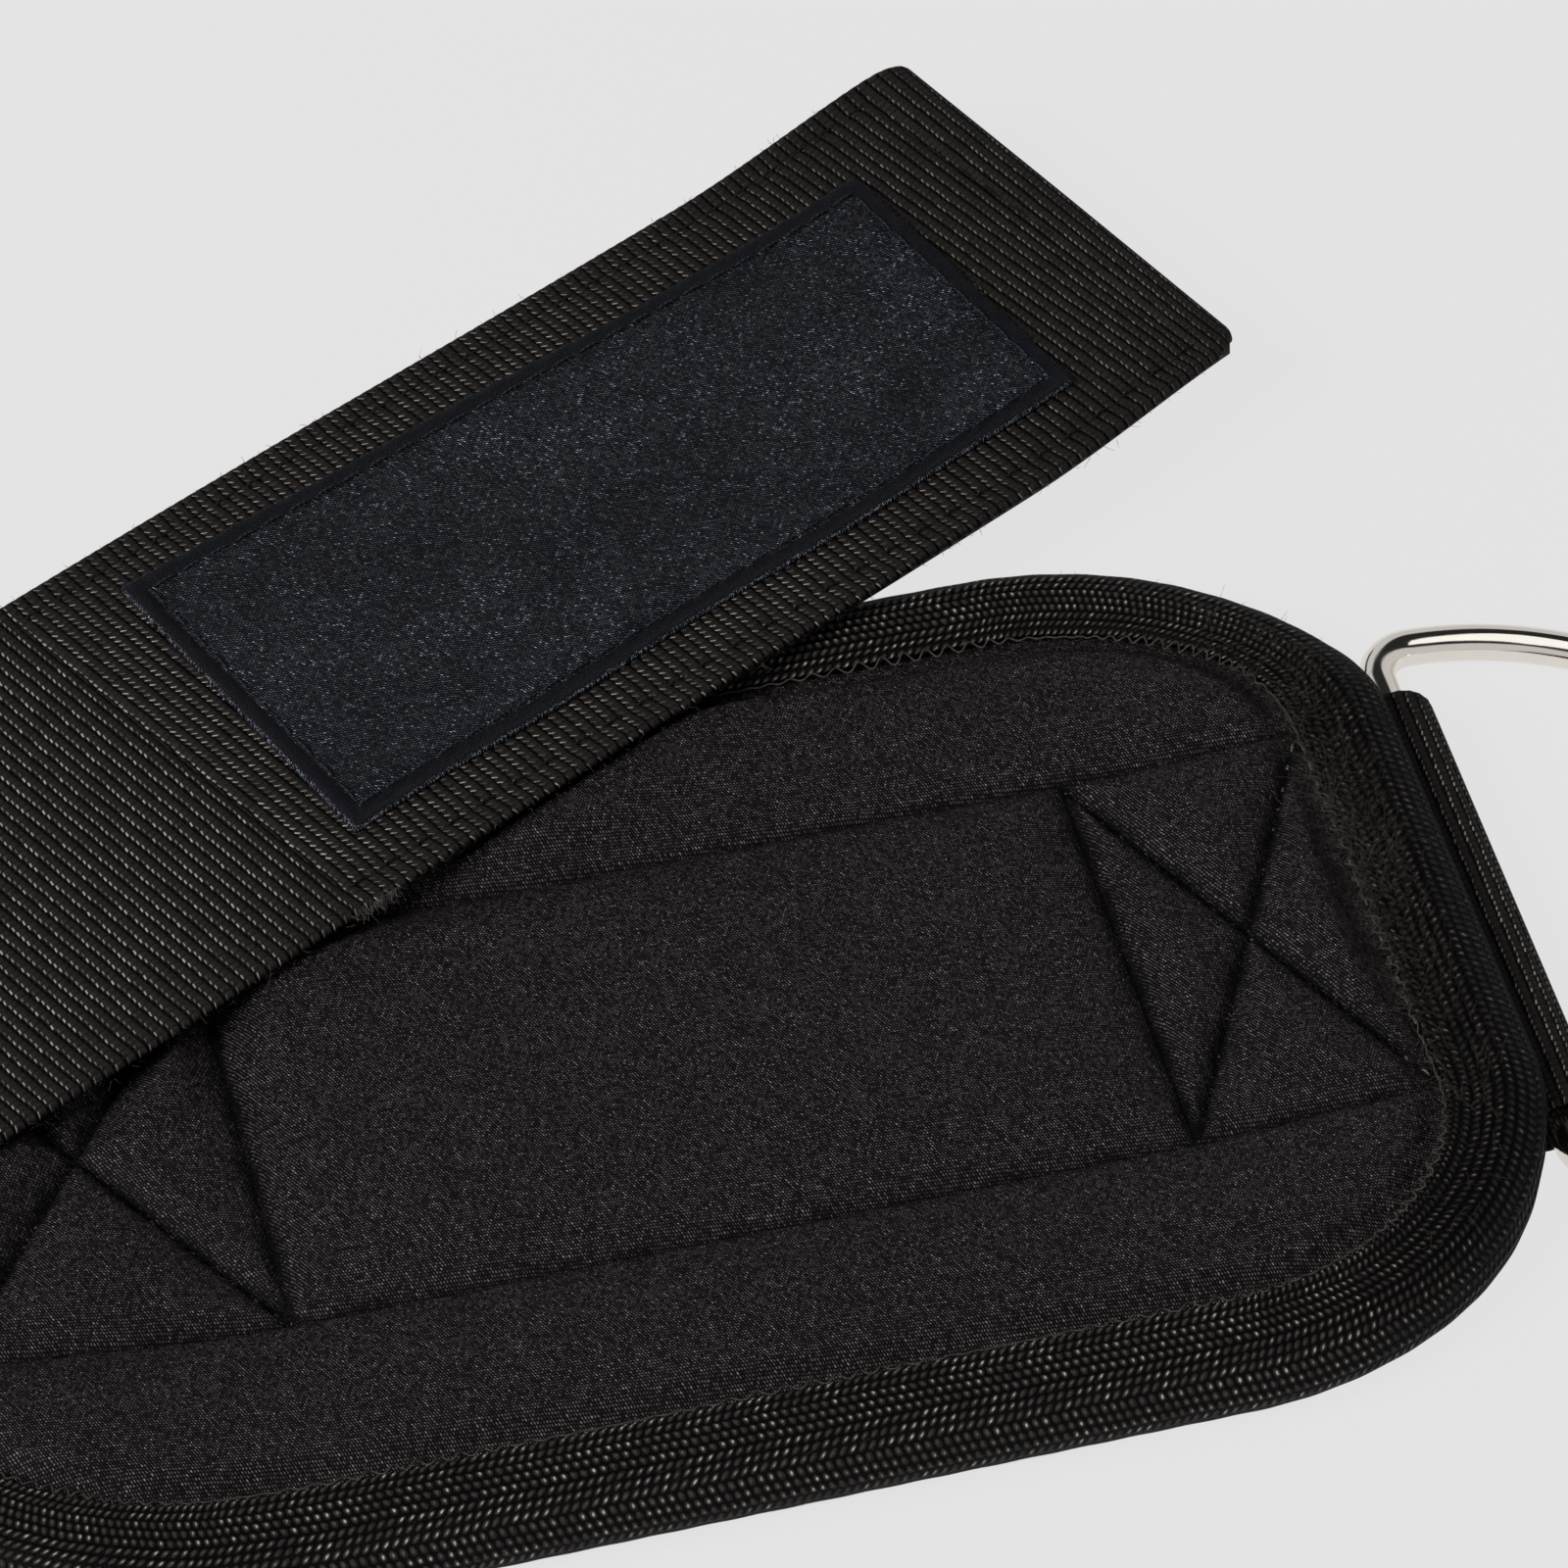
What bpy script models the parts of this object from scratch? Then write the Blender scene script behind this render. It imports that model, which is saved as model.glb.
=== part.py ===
# Cable ankle cuff, lying open on a surface with its soft inner side up.
#
# A quilted foam pad has a woven binding folded round its whole edge. One long
# webbing strap is sewn along the pad's underside. At the right end it is
# folded round the straight bar of a steel D-ring. At the left end it leaves
# the pad, turns over and comes back across the pad at a slant. The free tip
# carries a fastener patch on its inner face and a woven label on its outer.
#
# Metres, +Z up. X runs along the pad towards the D-ring. The origin is on the
# surface that the cuff lies on, under the middle of the sewn strap's width.
# Run with: blender --background --python part.py

import math

import bpy
import numpy as np

# Clearances
GAP = 0.0003
RING_PLAY = 0.00025
BINDING_PLAY = 0.0006

# Pad and its woven binding, seen from above
PAD_RIGHT = 0.0548
PAD_LEFT = -0.0975
PAD_HALF_WIDTH = 0.0480
CORNER_ALONG = 0.0330
CORNER_ACROSS = 0.0270
BINDING_WIDTH = 0.0086
BINDING_WALL = 0.0012
PAD_TUCK = 0.0032
PAD_TUCK_MIDDLE = 0.0017

# Pad and binding, heights
SIDE_FOOT = 0.0008
RIM_FOAM = 0.0040
RIM_FOAM_ON_STRAP = 0.0022
SEAM_FLOOR = 0.0072
PANEL_PUFF = 0.0022
PUFF_REACH = 0.0048
RIGHT_RAISE = 0.0012
CURL = 0.0034
CURL_START = -0.0540
CURL_RUN = 0.0360
CURL_PRESSED = 0.6
CURL_PRESS_START = -0.0100
CURL_PRESS_RUN = 0.0400
WEBBING_MARGIN = 0.0005
SIDE_FALL = 0.0140
FOLD_STEP_BEFORE = 0.0050
FOLD_STEP_RUN = 0.0040
RIM_EASE_BEFORE = 0.0040
RIM_EASE_RUN = 0.0120
RAISE_RUN = 0.0200
BINDING_STEP = 0.0030
BINDING_STEP_SET = 0.0006
BINDING_BEND = 0.0024
BINDING_EASE = 0.0002
PRESS_GAP = 0.0004
PRESS_REACH = 0.0059
PRESS_BEFORE_BEND = 0.0100

# Stitched seams of the pad
SEAM_HALF = 0.0213
RIGHT_BOX_START = 0.0244
LEFT_BOX_END = -0.0548
LEFT_BOX_LENGTH = 0.0290

# Webbing strap
STRAP_WIDTH = 0.0500
STRAP_WALL = 0.0017
STRAP_HEADING = math.radians(29.3)
STRAP_BOW_RADIUS = 1.957
FOLDED_END = 0.0246
BEND_POINT = -0.1169
OVER_RUN = 0.1825
LOOP_LEAVE = math.radians(35.0)
LOOP_RUN_OUT = 0.0060
LOOP_EASE = 0.45
BEND_EASE_IN = 0.0040
BEND_EASE_OUT = 0.0060
BEND_MARGIN = 0.0075
BEND_APPROACH = 0.0100
BEND_DEPARTURE = 0.0120
CURL_FALL_START = 0.0020
LEFT_LIFT = 0.0012
LEFT_LIFT_END = 0.0560
LEFT_LIFT_FADE = 0.0300
TIP_LIFT = 0.0023
TIP_LIFT_RUN = 0.0600

# Fastener patch under the strap's tip, and the label on it
PAD_TOP_UNDER_STRAP = 0.0086
PATCH_WALL = 0.0012
PATCH_LENGTH = 0.1045
PATCH_WIDTH = 0.0470
PATCH_END_MARGIN = 0.0030
PATCH_STEP_BEFORE = 0.0060
PATCH_STEP_RUN = 0.0040
LABEL_LENGTH = 0.0857
LABEL_WIDTH = 0.0350
LABEL_WALL = 0.0008
LABEL_END_MARGIN = 0.0139
LABEL_OFFSET = 0.0003
LABEL_RIM_RISE = 0.0003
LABEL_HEM = 0.0016

# D-ring
WIRE = 0.0034
BAR_X = 0.0566
BAR_Y = 0.0010
BOW_RADIUS = 0.0318
RING_CORNER = 0.0040
RING_FLOOR_CLEARANCE = 0.0001

# Mesh steps
PAD_STEP = 0.0046
SEAM_FLANK = 0.0022
PAD_CORE_SHARE = 0.88
PAD_ROW_SHARES = (0.06, 0.11, 0.17, 0.30, 0.48, 0.64, 0.74, 0.81, 0.89, 1.0)
STRAP_COLUMNS = 5
WIRE_BEVEL_STEPS = 2

LOOP_RADIUS = WIRE / 2 + RING_PLAY + STRAP_WALL / 2
BAR_Z = STRAP_WALL + RING_PLAY + WIRE / 2
PAD_MIDDLE = (PAD_RIGHT + PAD_LEFT) / 2
PAD_HALF_LENGTH = (PAD_RIGHT - PAD_LEFT) / 2
OVER_HEIGHT = PAD_TOP_UNDER_STRAP + PATCH_WALL + 2 * GAP + STRAP_WALL / 2
BEND_RADIUS = (OVER_HEIGHT + LEFT_LIFT - STRAP_WALL / 2) / 2

for old in list(bpy.data.objects):
    bpy.data.objects.remove(old, do_unlink=True)


def smooth(t):
    """Rise from 0 to 1 with level ends."""
    t = np.clip(t, 0.0, 1.0)
    return t * t * (3.0 - 2.0 * t)


def finish(name, colour, roughness, metallic, mesh, smooth_angle=None):
    """Make a named object of the mesh, with its own material."""
    material = bpy.data.materials.new(name + "_finish")
    material.use_nodes = True
    shader = material.node_tree.nodes["Principled BSDF"]
    shader.inputs["Base Color"].default_value = (*colour, 1.0)
    shader.inputs["Roughness"].default_value = roughness
    shader.inputs["Metallic"].default_value = metallic
    mesh.materials.append(material)
    if smooth_angle is not None:
        mesh.shade_smooth()
        mesh.set_sharp_from_angle(angle=smooth_angle)
    piece = bpy.data.objects.new(name, mesh)
    bpy.context.scene.collection.objects.link(piece)
    return piece


def tube_faces(stations, around, closed):
    """Quads between sections of equal point count, with end caps when open."""
    last = stations if closed else stations - 1
    i, j = np.meshgrid(np.arange(last), np.arange(around), indexing="ij")
    here = i * around
    there = ((i + 1) % stations) * around
    side = (j + 1) % around
    quads = np.stack([here + j, there + j, there + side, here + side], axis=-1).reshape(-1, 4)
    faces = [tuple(int(k) for k in quad) for quad in quads]
    if not closed:
        faces.append(tuple(range(around)))
        faces.append(tuple((stations - 1) * around + k for k in reversed(range(around))))
    return faces


def loft(name, sections, closed=False):
    """Mesh of an array of sections: stations, points round the section, xyz."""
    stations, around, _ = sections.shape
    mesh = bpy.data.meshes.new(name)
    mesh.from_pydata(sections.reshape(-1, 3).tolist(), [], tube_faces(stations, around, closed))
    mesh.update()
    return mesh


def slab_sections(top, bottom):
    """Closed sections of a thin wall: across its top, then back along its bottom."""
    return np.concatenate([top, bottom[:, ::-1]], axis=1)


# The strap's route in its own flat lengths, s along it and v across it


def loop_profile():
    """Middle line of the strap round the ring's bar, from its folded end to the flat run."""
    second_layer = STRAP_WALL + GAP + STRAP_WALL / 2
    leave = np.array([
        BAR_X - LOOP_RADIUS * math.sin(LOOP_LEAVE),
        BAR_Z + LOOP_RADIUS * math.cos(LOOP_LEAVE),
    ])
    landing = np.array([leave[0] - LOOP_RUN_OUT, second_layer])
    handle = LOOP_RUN_OUT * LOOP_EASE
    near_landing = landing + np.array([handle, 0.0])
    near_leave = leave - handle * np.array([math.cos(LOOP_LEAVE), math.sin(LOOP_LEAVE)])
    flat = np.linspace(FOLDED_END, landing[0], 5)[:-1]
    flat = np.stack([flat, np.full_like(flat, second_layer)], axis=1)
    t = np.linspace(0.0, 1.0, 8)[:, None]
    climb = (
        (1 - t) ** 3 * landing
        + 3 * (1 - t) ** 2 * t * near_landing
        + 3 * (1 - t) * t ** 2 * near_leave
        + t ** 3 * leave
    )
    angle = np.linspace(math.pi / 2 + LOOP_LEAVE, -math.pi / 2, 15)[1:]
    wrap = np.stack([
        BAR_X + LOOP_RADIUS * np.cos(angle),
        BAR_Z + LOOP_RADIUS * np.sin(angle),
    ], axis=1)
    return np.concatenate([flat, climb, wrap])


RING_END = loop_profile()


def face_above(profile, offset):
    """Profile moved square to itself, towards the pad."""
    run = np.gradient(profile, axis=0)
    run = run / np.linalg.norm(run, axis=1, keepdims=True)
    return profile + offset * np.stack([-run[:, 1], run[:, 0]], axis=1)


RING_END_RISING = RING_END[:int(np.argmax(RING_END[:, 0]))]
STRAP_TOP_AT_RING = face_above(RING_END_RISING, STRAP_WALL / 2 + GAP)


def curl(x, y):
    """Height by which the pad's left end lifts, less where the strap presses on it."""
    along = smooth((CURL_START - x) / CURL_RUN)
    pressed = CURL_PRESSED * smooth((y - CURL_PRESS_START) / CURL_PRESS_RUN)
    return CURL * along * (1.0 - pressed)


def over_height(s):
    """Height of the strap's middle face along its run over the pad, s from the bend."""
    left = LEFT_LIFT * (1.0 - smooth((s - (LEFT_LIFT_END - LEFT_LIFT_FADE)) / LEFT_LIFT_FADE))
    tip = TIP_LIFT * np.clip((s - (OVER_RUN - TIP_LIFT_RUN)) / TIP_LIFT_RUN, 0.0, 1.0) ** 2
    return OVER_HEIGHT + left + tip


def bend_frame():
    """Half turn angle, direction along the bend's axis and direction across it."""
    half = STRAP_HEADING / 2
    axis = np.array([-math.sin(half), math.cos(half)])
    across = np.array([-math.cos(half), -math.sin(half)])
    return half, axis, across


BEND_ARC = math.pi * BEND_RADIUS / math.cos(STRAP_HEADING / 2)


def strap_surface(s, v):
    """Middle face of the strap: s from the start of the bend, below 0 on the sewn run.

    The flat strip is wrapped, without stretch, round a cylinder that is turned
    by half of the heading. Past the bend it bows slightly sideways, and its
    height follows the pad that it lies on.
    """
    half, axis, across = bend_frame()
    c = s * math.cos(half) - v * math.sin(half)
    a = s * math.sin(half) + v * math.cos(half)
    half_turn = math.pi * BEND_RADIUS
    turn = np.clip(c, 0.0, half_turn) / BEND_RADIUS
    out = np.where(c < 0.0, c, BEND_RADIUS * np.sin(turn))
    out = np.where(c > half_turn, half_turn - c, out)
    x = BEND_POINT + out * across[0] + a * axis[0]
    y = out * across[1] + a * axis[1]
    z = STRAP_WALL / 2 + BEND_RADIUS * (1.0 - np.cos(turn))
    below = smooth(-c / BEND_EASE_IN)
    fall_start = PAD_LEFT + CURL_FALL_START
    fall = 1.0 - smooth((fall_start - x) / (fall_start - BEND_POINT - BEND_MARGIN))
    z = z + below * curl(x, y) * fall
    beyond = np.maximum(s - BEND_ARC, 0.0)
    over = smooth((c - half_turn) / BEND_EASE_OUT)
    z = z + over * (over_height(beyond) - OVER_HEIGHT - LEFT_LIFT)
    side = beyond ** 2 / (2 * STRAP_BOW_RADIUS)
    x = x + side * math.sin(STRAP_HEADING)
    y = y - side * math.cos(STRAP_HEADING)
    return np.stack([x, y, z], axis=-1)


def over_point(u, v):
    """Point on the strap's middle face over the pad, u from the bend's end."""
    return strap_surface(u + BEND_ARC, v)


def face_normals(points):
    """Unit normals of a grid of points, stations by columns."""
    along = np.gradient(points, axis=0)
    side = np.gradient(points, axis=1)
    normal = np.cross(along, side)
    return normal / np.linalg.norm(normal, axis=-1, keepdims=True)


def wall_between(points, low, high):
    """Closed sections of the wall from low to high along the grid's normals."""
    normal = face_normals(points)
    return slab_sections(points + high * normal, points + low * normal)


def build_strap():
    """Webbing strap in one piece, from its folded end to its tip."""
    v = np.linspace(-STRAP_WIDTH / 2, STRAP_WIDTH / 2, STRAP_COLUMNS)
    ring = np.stack([
        np.repeat(RING_END[:, :1], STRAP_COLUMNS, axis=1),
        np.repeat(v[None, :], len(RING_END), axis=0),
        np.repeat(RING_END[:, 1:], STRAP_COLUMNS, axis=1),
    ], axis=-1)
    sewn = BAR_X - BEND_POINT
    curled = CURL_START - BEND_POINT
    under = np.concatenate([
        np.linspace(-sewn, -curled, 7)[1:-1],
        np.linspace(-curled, -BEND_APPROACH, 16),
    ])
    bend = np.linspace(-BEND_MARGIN, BEND_ARC + BEND_MARGIN, 17)
    over = np.linspace(BEND_ARC + BEND_DEPARTURE, BEND_ARC + OVER_RUN, 38)
    s = np.concatenate([under, bend, over])
    grid_s, grid_v = np.meshgrid(s, v, indexing="ij")
    rest = strap_surface(grid_s, grid_v)
    points = np.concatenate([ring, rest])
    sections = wall_between(points, -STRAP_WALL / 2, STRAP_WALL / 2)
    finish("strap", (0.030, 0.027, 0.023), 0.85, 0.0, loft("strap", sections), math.radians(40))


def build_patch():
    """Fastener patch sewn to the strap's inner face behind the tip."""
    u = np.linspace(
        OVER_RUN - PATCH_END_MARGIN - PATCH_LENGTH, OVER_RUN - PATCH_END_MARGIN, 22)
    v = np.linspace(-PATCH_WIDTH / 2, PATCH_WIDTH / 2, STRAP_COLUMNS)
    grid_u, grid_v = np.meshgrid(u, v, indexing="ij")
    points = over_point(grid_u, grid_v)
    near = STRAP_WALL / 2 + GAP
    sections = wall_between(points, -near - PATCH_WALL, -near)
    finish("fastener_patch", (0.012, 0.012, 0.012), 0.95, 0.0,
           loft("fastener_patch", sections), math.radians(40))


def build_label():
    """Woven label on the strap's outer face, its hem a little raised."""
    u = np.linspace(OVER_RUN - LABEL_END_MARGIN - LABEL_LENGTH, OVER_RUN - LABEL_END_MARGIN, 20)
    half = LABEL_WIDTH / 2
    v = LABEL_OFFSET + np.array([-half, -half + LABEL_HEM, 0.0, half - LABEL_HEM, half])
    grid_u, grid_v = np.meshgrid(u, v, indexing="ij")
    points = over_point(grid_u, grid_v)
    normal = face_normals(points)
    edge_u = np.minimum(grid_u - u[0], u[-1] - grid_u)
    edge_v = half - np.abs(grid_v - LABEL_OFFSET)
    raised = LABEL_RIM_RISE * (1.0 - smooth(np.minimum(edge_u, edge_v) / (2 * LABEL_HEM)))
    near = STRAP_WALL / 2 + GAP
    bottom = points + near * normal
    top = points + (near + LABEL_WALL + raised)[..., None] * normal
    sections = slab_sections(top, bottom)
    finish("label", (0.009, 0.010, 0.016), 0.45, 0.0, loft("label", sections), math.radians(40))


# The pad's plan: straight sides joined by quarter ellipses


def corner_parts(x, y):
    """Distances past the corner centres, 0 along the straight sides."""
    beyond_x = np.abs(x - PAD_MIDDLE) - (PAD_HALF_LENGTH - CORNER_ALONG)
    beyond_y = np.abs(y) - (PAD_HALF_WIDTH - CORNER_ACROSS)
    return beyond_x, beyond_y


def rim_depth(x, y):
    """How far a point lies inside the outline."""
    dx, dy = corner_parts(x, y)
    depth = np.minimum(CORNER_ALONG - dx, CORNER_ACROSS - dy)
    px = np.maximum(dx, 0.0)
    py = np.maximum(dy, 0.0)
    radius = np.hypot(px, py)
    share = np.hypot(px / CORNER_ALONG, py / CORNER_ACROSS)
    radial = radius * (1.0 - share) / np.maximum(share, 1e-6)
    return np.where((dx > 0.0) & (dy > 0.0), np.minimum(depth, radial), depth)


def half_width_at(x, inset):
    """Half width of the outline, drawn in by the inset, at a place along the pad."""
    dx = np.maximum(np.abs(x - PAD_MIDDLE) - (PAD_HALF_LENGTH - CORNER_ALONG), 0.0)
    share = np.clip(dx / (CORNER_ALONG - inset), 0.0, 1.0)
    return PAD_HALF_WIDTH - CORNER_ACROSS + (CORNER_ACROSS - inset) * np.sqrt(1.0 - share ** 2)


def move_to_inset(x, y, old, new):
    """Carry points from one inset outline to another."""
    dx, dy = corner_parts(x, y)
    fx = (CORNER_ALONG - new) / (CORNER_ALONG - old)
    fy = (CORNER_ACROSS - new) / (CORNER_ACROSS - old)
    nx = PAD_MIDDLE + np.sign(x - PAD_MIDDLE) * (
        np.abs(x - PAD_MIDDLE) + np.maximum(dx, 0.0) * (fx - 1.0))
    ny = np.sign(y) * (np.abs(y) + np.maximum(dy, 0.0) * (fy - 1.0))
    return nx, ny


def outline(inset):
    """Points round the outline, anticlockwise from the right end's middle."""
    ax = PAD_HALF_LENGTH - CORNER_ALONG
    ay = PAD_HALF_WIDTH - CORNER_ACROSS
    quarter = np.linspace(0.0, math.pi / 2, 12)
    ex = ax + (CORNER_ALONG - inset) * np.cos(quarter)
    ey = ay + (CORNER_ACROSS - inset) * np.sin(quarter)
    end = np.linspace(0.0, ay, 6)[:-1]
    side = np.linspace(ax, 0.0, 7)[1:]
    first_x = np.concatenate([np.full_like(end, ex[0]), ex, side])
    first_y = np.concatenate([end, ey, np.full_like(side, ey[-1])])
    upper_x = np.concatenate([first_x, -first_x[-2::-1]])
    upper_y = np.concatenate([first_y, first_y[-2::-1]])
    x = np.concatenate([upper_x, upper_x[-2:0:-1]])
    y = np.concatenate([upper_y, -upper_y[-2:0:-1]])
    return PAD_MIDDLE + x, y


def over_webbing(y):
    """1 above the sewn strap, 0 beside it."""
    return 1.0 - smooth((np.abs(y) - STRAP_WIDTH / 2 - WEBBING_MARGIN) / SIDE_FALL)


def foot(x, y):
    """Underside of the pad and binding: on the strap, its folded layer and its loop."""
    single = STRAP_WALL + GAP
    doubled = np.interp(x, STRAP_TOP_AT_RING[:, 0], STRAP_TOP_AT_RING[:, 1])
    at_fold = smooth((x - FOLDED_END + FOLD_STEP_BEFORE) / FOLD_STEP_RUN)
    height = single + (doubled - single) * at_fold
    return SIDE_FOOT + (height - SIDE_FOOT) * over_webbing(y) + curl(x, y)


def rim_foam(x, y):
    """Thickness of the foam inside the binding, thinner on the sewn strap."""
    dx, _ = corner_parts(x, y)
    at_end = smooth((dx + RIM_EASE_BEFORE) / RIM_EASE_RUN) * over_webbing(y)
    return RIM_FOAM + (RIM_FOAM_ON_STRAP - RIM_FOAM) * at_end


def segment_distance(x, y, x0, y0, x1, y1):
    """Distance from points to a straight seam."""
    dx = x1 - x0
    dy = y1 - y0
    t = np.clip(((x - x0) * dx + (y - y0) * dy) / (dx * dx + dy * dy), 0.0, 1.0)
    return np.hypot(x - x0 - t * dx, y - y0 - t * dy)


def seam_lines():
    """Two long seams, and a crossed box at each end between them."""
    right = PAD_RIGHT - BINDING_WIDTH
    left = LEFT_BOX_END - LEFT_BOX_LENGTH
    lines = [(left, side * SEAM_HALF, right, side * SEAM_HALF) for side in (-1, 1)]
    for start, end in ((RIGHT_BOX_START, right), (left, LEFT_BOX_END)):
        lines.append((start, -SEAM_HALF, end, SEAM_HALF))
        lines.append((start, SEAM_HALF, end, -SEAM_HALF))
        lines.append((start, -SEAM_HALF, start, SEAM_HALF))
        lines.append((end, -SEAM_HALF, end, SEAM_HALF))
    return lines


def strap_place(x, y):
    """Lengths along and across the strap of points under its run over the pad."""
    start = over_point(np.array(0.0), np.array(0.0))
    dx = x - start[0]
    dy = y - start[1]
    along = dx * math.cos(STRAP_HEADING) + dy * math.sin(STRAP_HEADING)
    across = -dx * math.sin(STRAP_HEADING) + dy * math.cos(STRAP_HEADING)
    across = across + along ** 2 / (2 * STRAP_BOW_RADIUS)
    return along, across


def strap_underside(x, y):
    """Lowest face of the strap and its patch above a point, and whether they cover it."""
    along, across = strap_place(x, y)
    patch_start = OVER_RUN - PATCH_END_MARGIN - PATCH_LENGTH - PATCH_STEP_BEFORE
    patch = smooth((along - patch_start) / PATCH_STEP_RUN)
    face = over_height(along) - STRAP_WALL / 2 - (PATCH_WALL + GAP) * patch
    covered = (np.abs(across) < STRAP_WIDTH / 2 + PRESS_REACH) & (along > -PRESS_BEFORE_BEND)
    return face, covered


def pad_top(x, y):
    """Quilted top: puffed panels between seams, pressed flat under the strap.

    The height grows away from the nearest seam or from the binding, quickly
    at first and then level, so each panel is a low cushion.
    """
    depth = rim_depth(x, y)
    nearest = np.maximum(depth - BINDING_WIDTH + BINDING_STEP_SET, 0.0)
    for line in seam_lines():
        nearest = np.minimum(nearest, segment_distance(x, y, *line))
    puff = PANEL_PUFF * (1.0 - np.exp(-nearest / PUFF_REACH))
    raise_right = RIGHT_RAISE * smooth((x - FOLDED_END) / RAISE_RUN) * over_webbing(y)
    inside = SEAM_FLOOR + puff + curl(x, y) + raise_right
    tucked = foot(x, y) + BINDING_WALL + BINDING_PLAY + rim_foam(x, y)
    blend = smooth((depth - BINDING_WIDTH - BINDING_STEP_SET) / BINDING_STEP)
    top = tucked + (inside - tucked) * blend
    face, covered = strap_underside(x, y)
    return np.where(covered, np.minimum(top, face - PRESS_GAP), top)


def pad_bottom(x, y):
    """Plain underside, stepped up where the binding's lower lip goes under it."""
    depth = rim_depth(x, y)
    beside = 1.0 - smooth((depth - BINDING_WIDTH - BINDING_STEP_SET) / BINDING_STEP)
    return foot(x, y) + (BINDING_WALL + BINDING_PLAY) * beside


def spread(marks, low, high, step):
    """Sorted grid lines: even steps, with each even line that is close to a mark left out."""
    marks = [mark for mark in marks if low < mark < high]
    even = np.linspace(low, high, max(2, int(round((high - low) / step)) + 1))
    kept = [line for line in even[1:-1] if all(abs(line - mark) > 0.3 * step for mark in marks)]
    return np.array(sorted([low, high] + kept + marks))


def build_pad():
    """Foam pad with a knitted face, one closed solid that is tucked into the binding."""
    right = PAD_RIGHT - PAD_TUCK
    left = PAD_LEFT + PAD_TUCK
    box_left = LEFT_BOX_END - LEFT_BOX_LENGTH
    marks = [PAD_RIGHT - share * BINDING_WIDTH for share in (0.6, 0.8, 1.0, 1.25)]
    marks += [PAD_LEFT + share * BINDING_WIDTH for share in (0.6, 1.0, 1.3)]
    for seam in (RIGHT_BOX_START, LEFT_BOX_END, box_left):
        marks += [seam - SEAM_FLANK, seam, seam + SEAM_FLANK]
    columns = spread(marks, left, right, PAD_STEP)
    core = PAD_CORE_SHARE * (PAD_HALF_WIDTH - CORNER_ACROSS)
    middle = np.linspace(-core, core, 9)
    shares = np.array(PAD_ROW_SHARES)
    grid_x = []
    grid_y = []
    for x in columns:
        half = half_width_at(x, PAD_TUCK)
        outer = core + (half - core) * shares
        rows = np.concatenate([-outer[::-1], middle, outer])
        grid_x.append(np.full_like(rows, x))
        grid_y.append(rows)
    grid_x = np.array(grid_x)
    grid_y = np.array(grid_y)
    top = np.stack([grid_x, grid_y, pad_top(grid_x, grid_y)], axis=-1)
    bottom = np.stack([grid_x, grid_y, pad_bottom(grid_x, grid_y)], axis=-1)
    nx, ny = grid_x.shape
    edge = [(i, 0) for i in range(nx)]
    edge += [(nx - 1, j) for j in range(1, ny)]
    edge += [(i, ny - 1) for i in range(nx - 2, -1, -1)]
    edge += [(0, j) for j in range(ny - 2, 0, -1)]
    edge_x = np.array([grid_x[k] for k in edge])
    edge_y = np.array([grid_y[k] for k in edge])
    mid_x, mid_y = move_to_inset(edge_x, edge_y, PAD_TUCK, PAD_TUCK_MIDDLE)
    mid_z = (pad_top(edge_x, edge_y) + pad_bottom(edge_x, edge_y)) / 2
    middle_ring = np.stack([mid_x, mid_y, mid_z], axis=-1)
    points = np.concatenate([top.reshape(-1, 3), bottom.reshape(-1, 3), middle_ring])
    size = nx * ny
    i, j = np.meshgrid(np.arange(nx - 1), np.arange(ny - 1), indexing="ij")
    a = i * ny + j
    quads = np.stack([a, a + ny, a + ny + 1, a + 1], axis=-1).reshape(-1, 4)
    faces = quads.tolist() + (quads[:, ::-1] + size).tolist()
    around = len(edge)
    for k in range(around):
        after = (k + 1) % around
        upper, upper_next = (edge[m][0] * ny + edge[m][1] for m in (k, after))
        ring, ring_next = 2 * size + k, 2 * size + after
        faces.append([upper, ring, ring_next, upper_next])
        faces.append([ring, upper + size, upper_next + size, ring_next])
    mesh = bpy.data.meshes.new("pad")
    mesh.from_pydata(points.tolist(), [], faces)
    mesh.update()
    finish("pad", (0.018, 0.016, 0.017), 0.9, 0.0, mesh, math.radians(50))


def build_binding():
    """Woven tape folded round the pad's edge: a C section carried round the outline."""
    wall = BINDING_WALL
    width = BINDING_WIDTH
    bend = BINDING_BEND
    ease = BINDING_EASE
    # depth inside the outline, share of the rim's height, and height added to it
    section = np.array([
        (width, 0.0, 0.0),
        (0.6 * width, 0.0, 0.0),
        (bend, 0.0, 0.0),
        (0.3 * bend, 0.22, 0.0),
        (0.0, 0.5, 0.0),
        (0.3 * bend, 0.8, 0.0),
        (bend, 1.0, 0.0),
        (0.6 * width, 1.0, 0.0001),
        (width, 1.0, -0.0003),
        (width, 1.0, -wall),
        (bend + ease, 1.0, -wall),
        (wall + ease, 0.66, 0.0),
        (wall, 0.5, 0.0),
        (wall + ease, 0.34, 0.0),
        (bend + ease, 0.0, wall),
        (0.6 * width, 0.0, wall),
        (width, 0.0, wall),
    ])
    rings = []
    for depth, share, added in section:
        x, y = outline(depth)
        low = foot(x, y)
        base_x, base_y = outline(max(depth, PAD_TUCK))
        top = foot(base_x, base_y) + 2 * (BINDING_WALL + BINDING_PLAY) + rim_foam(base_x, base_y)
        rings.append(np.stack([x, y, low + share * (top - low) + added], axis=-1))
    sections = np.stack(rings, axis=1)
    finish("binding", (0.016, 0.015, 0.014), 0.95, 0.0,
           loft("binding", sections, closed=True), math.radians(50))


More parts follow.
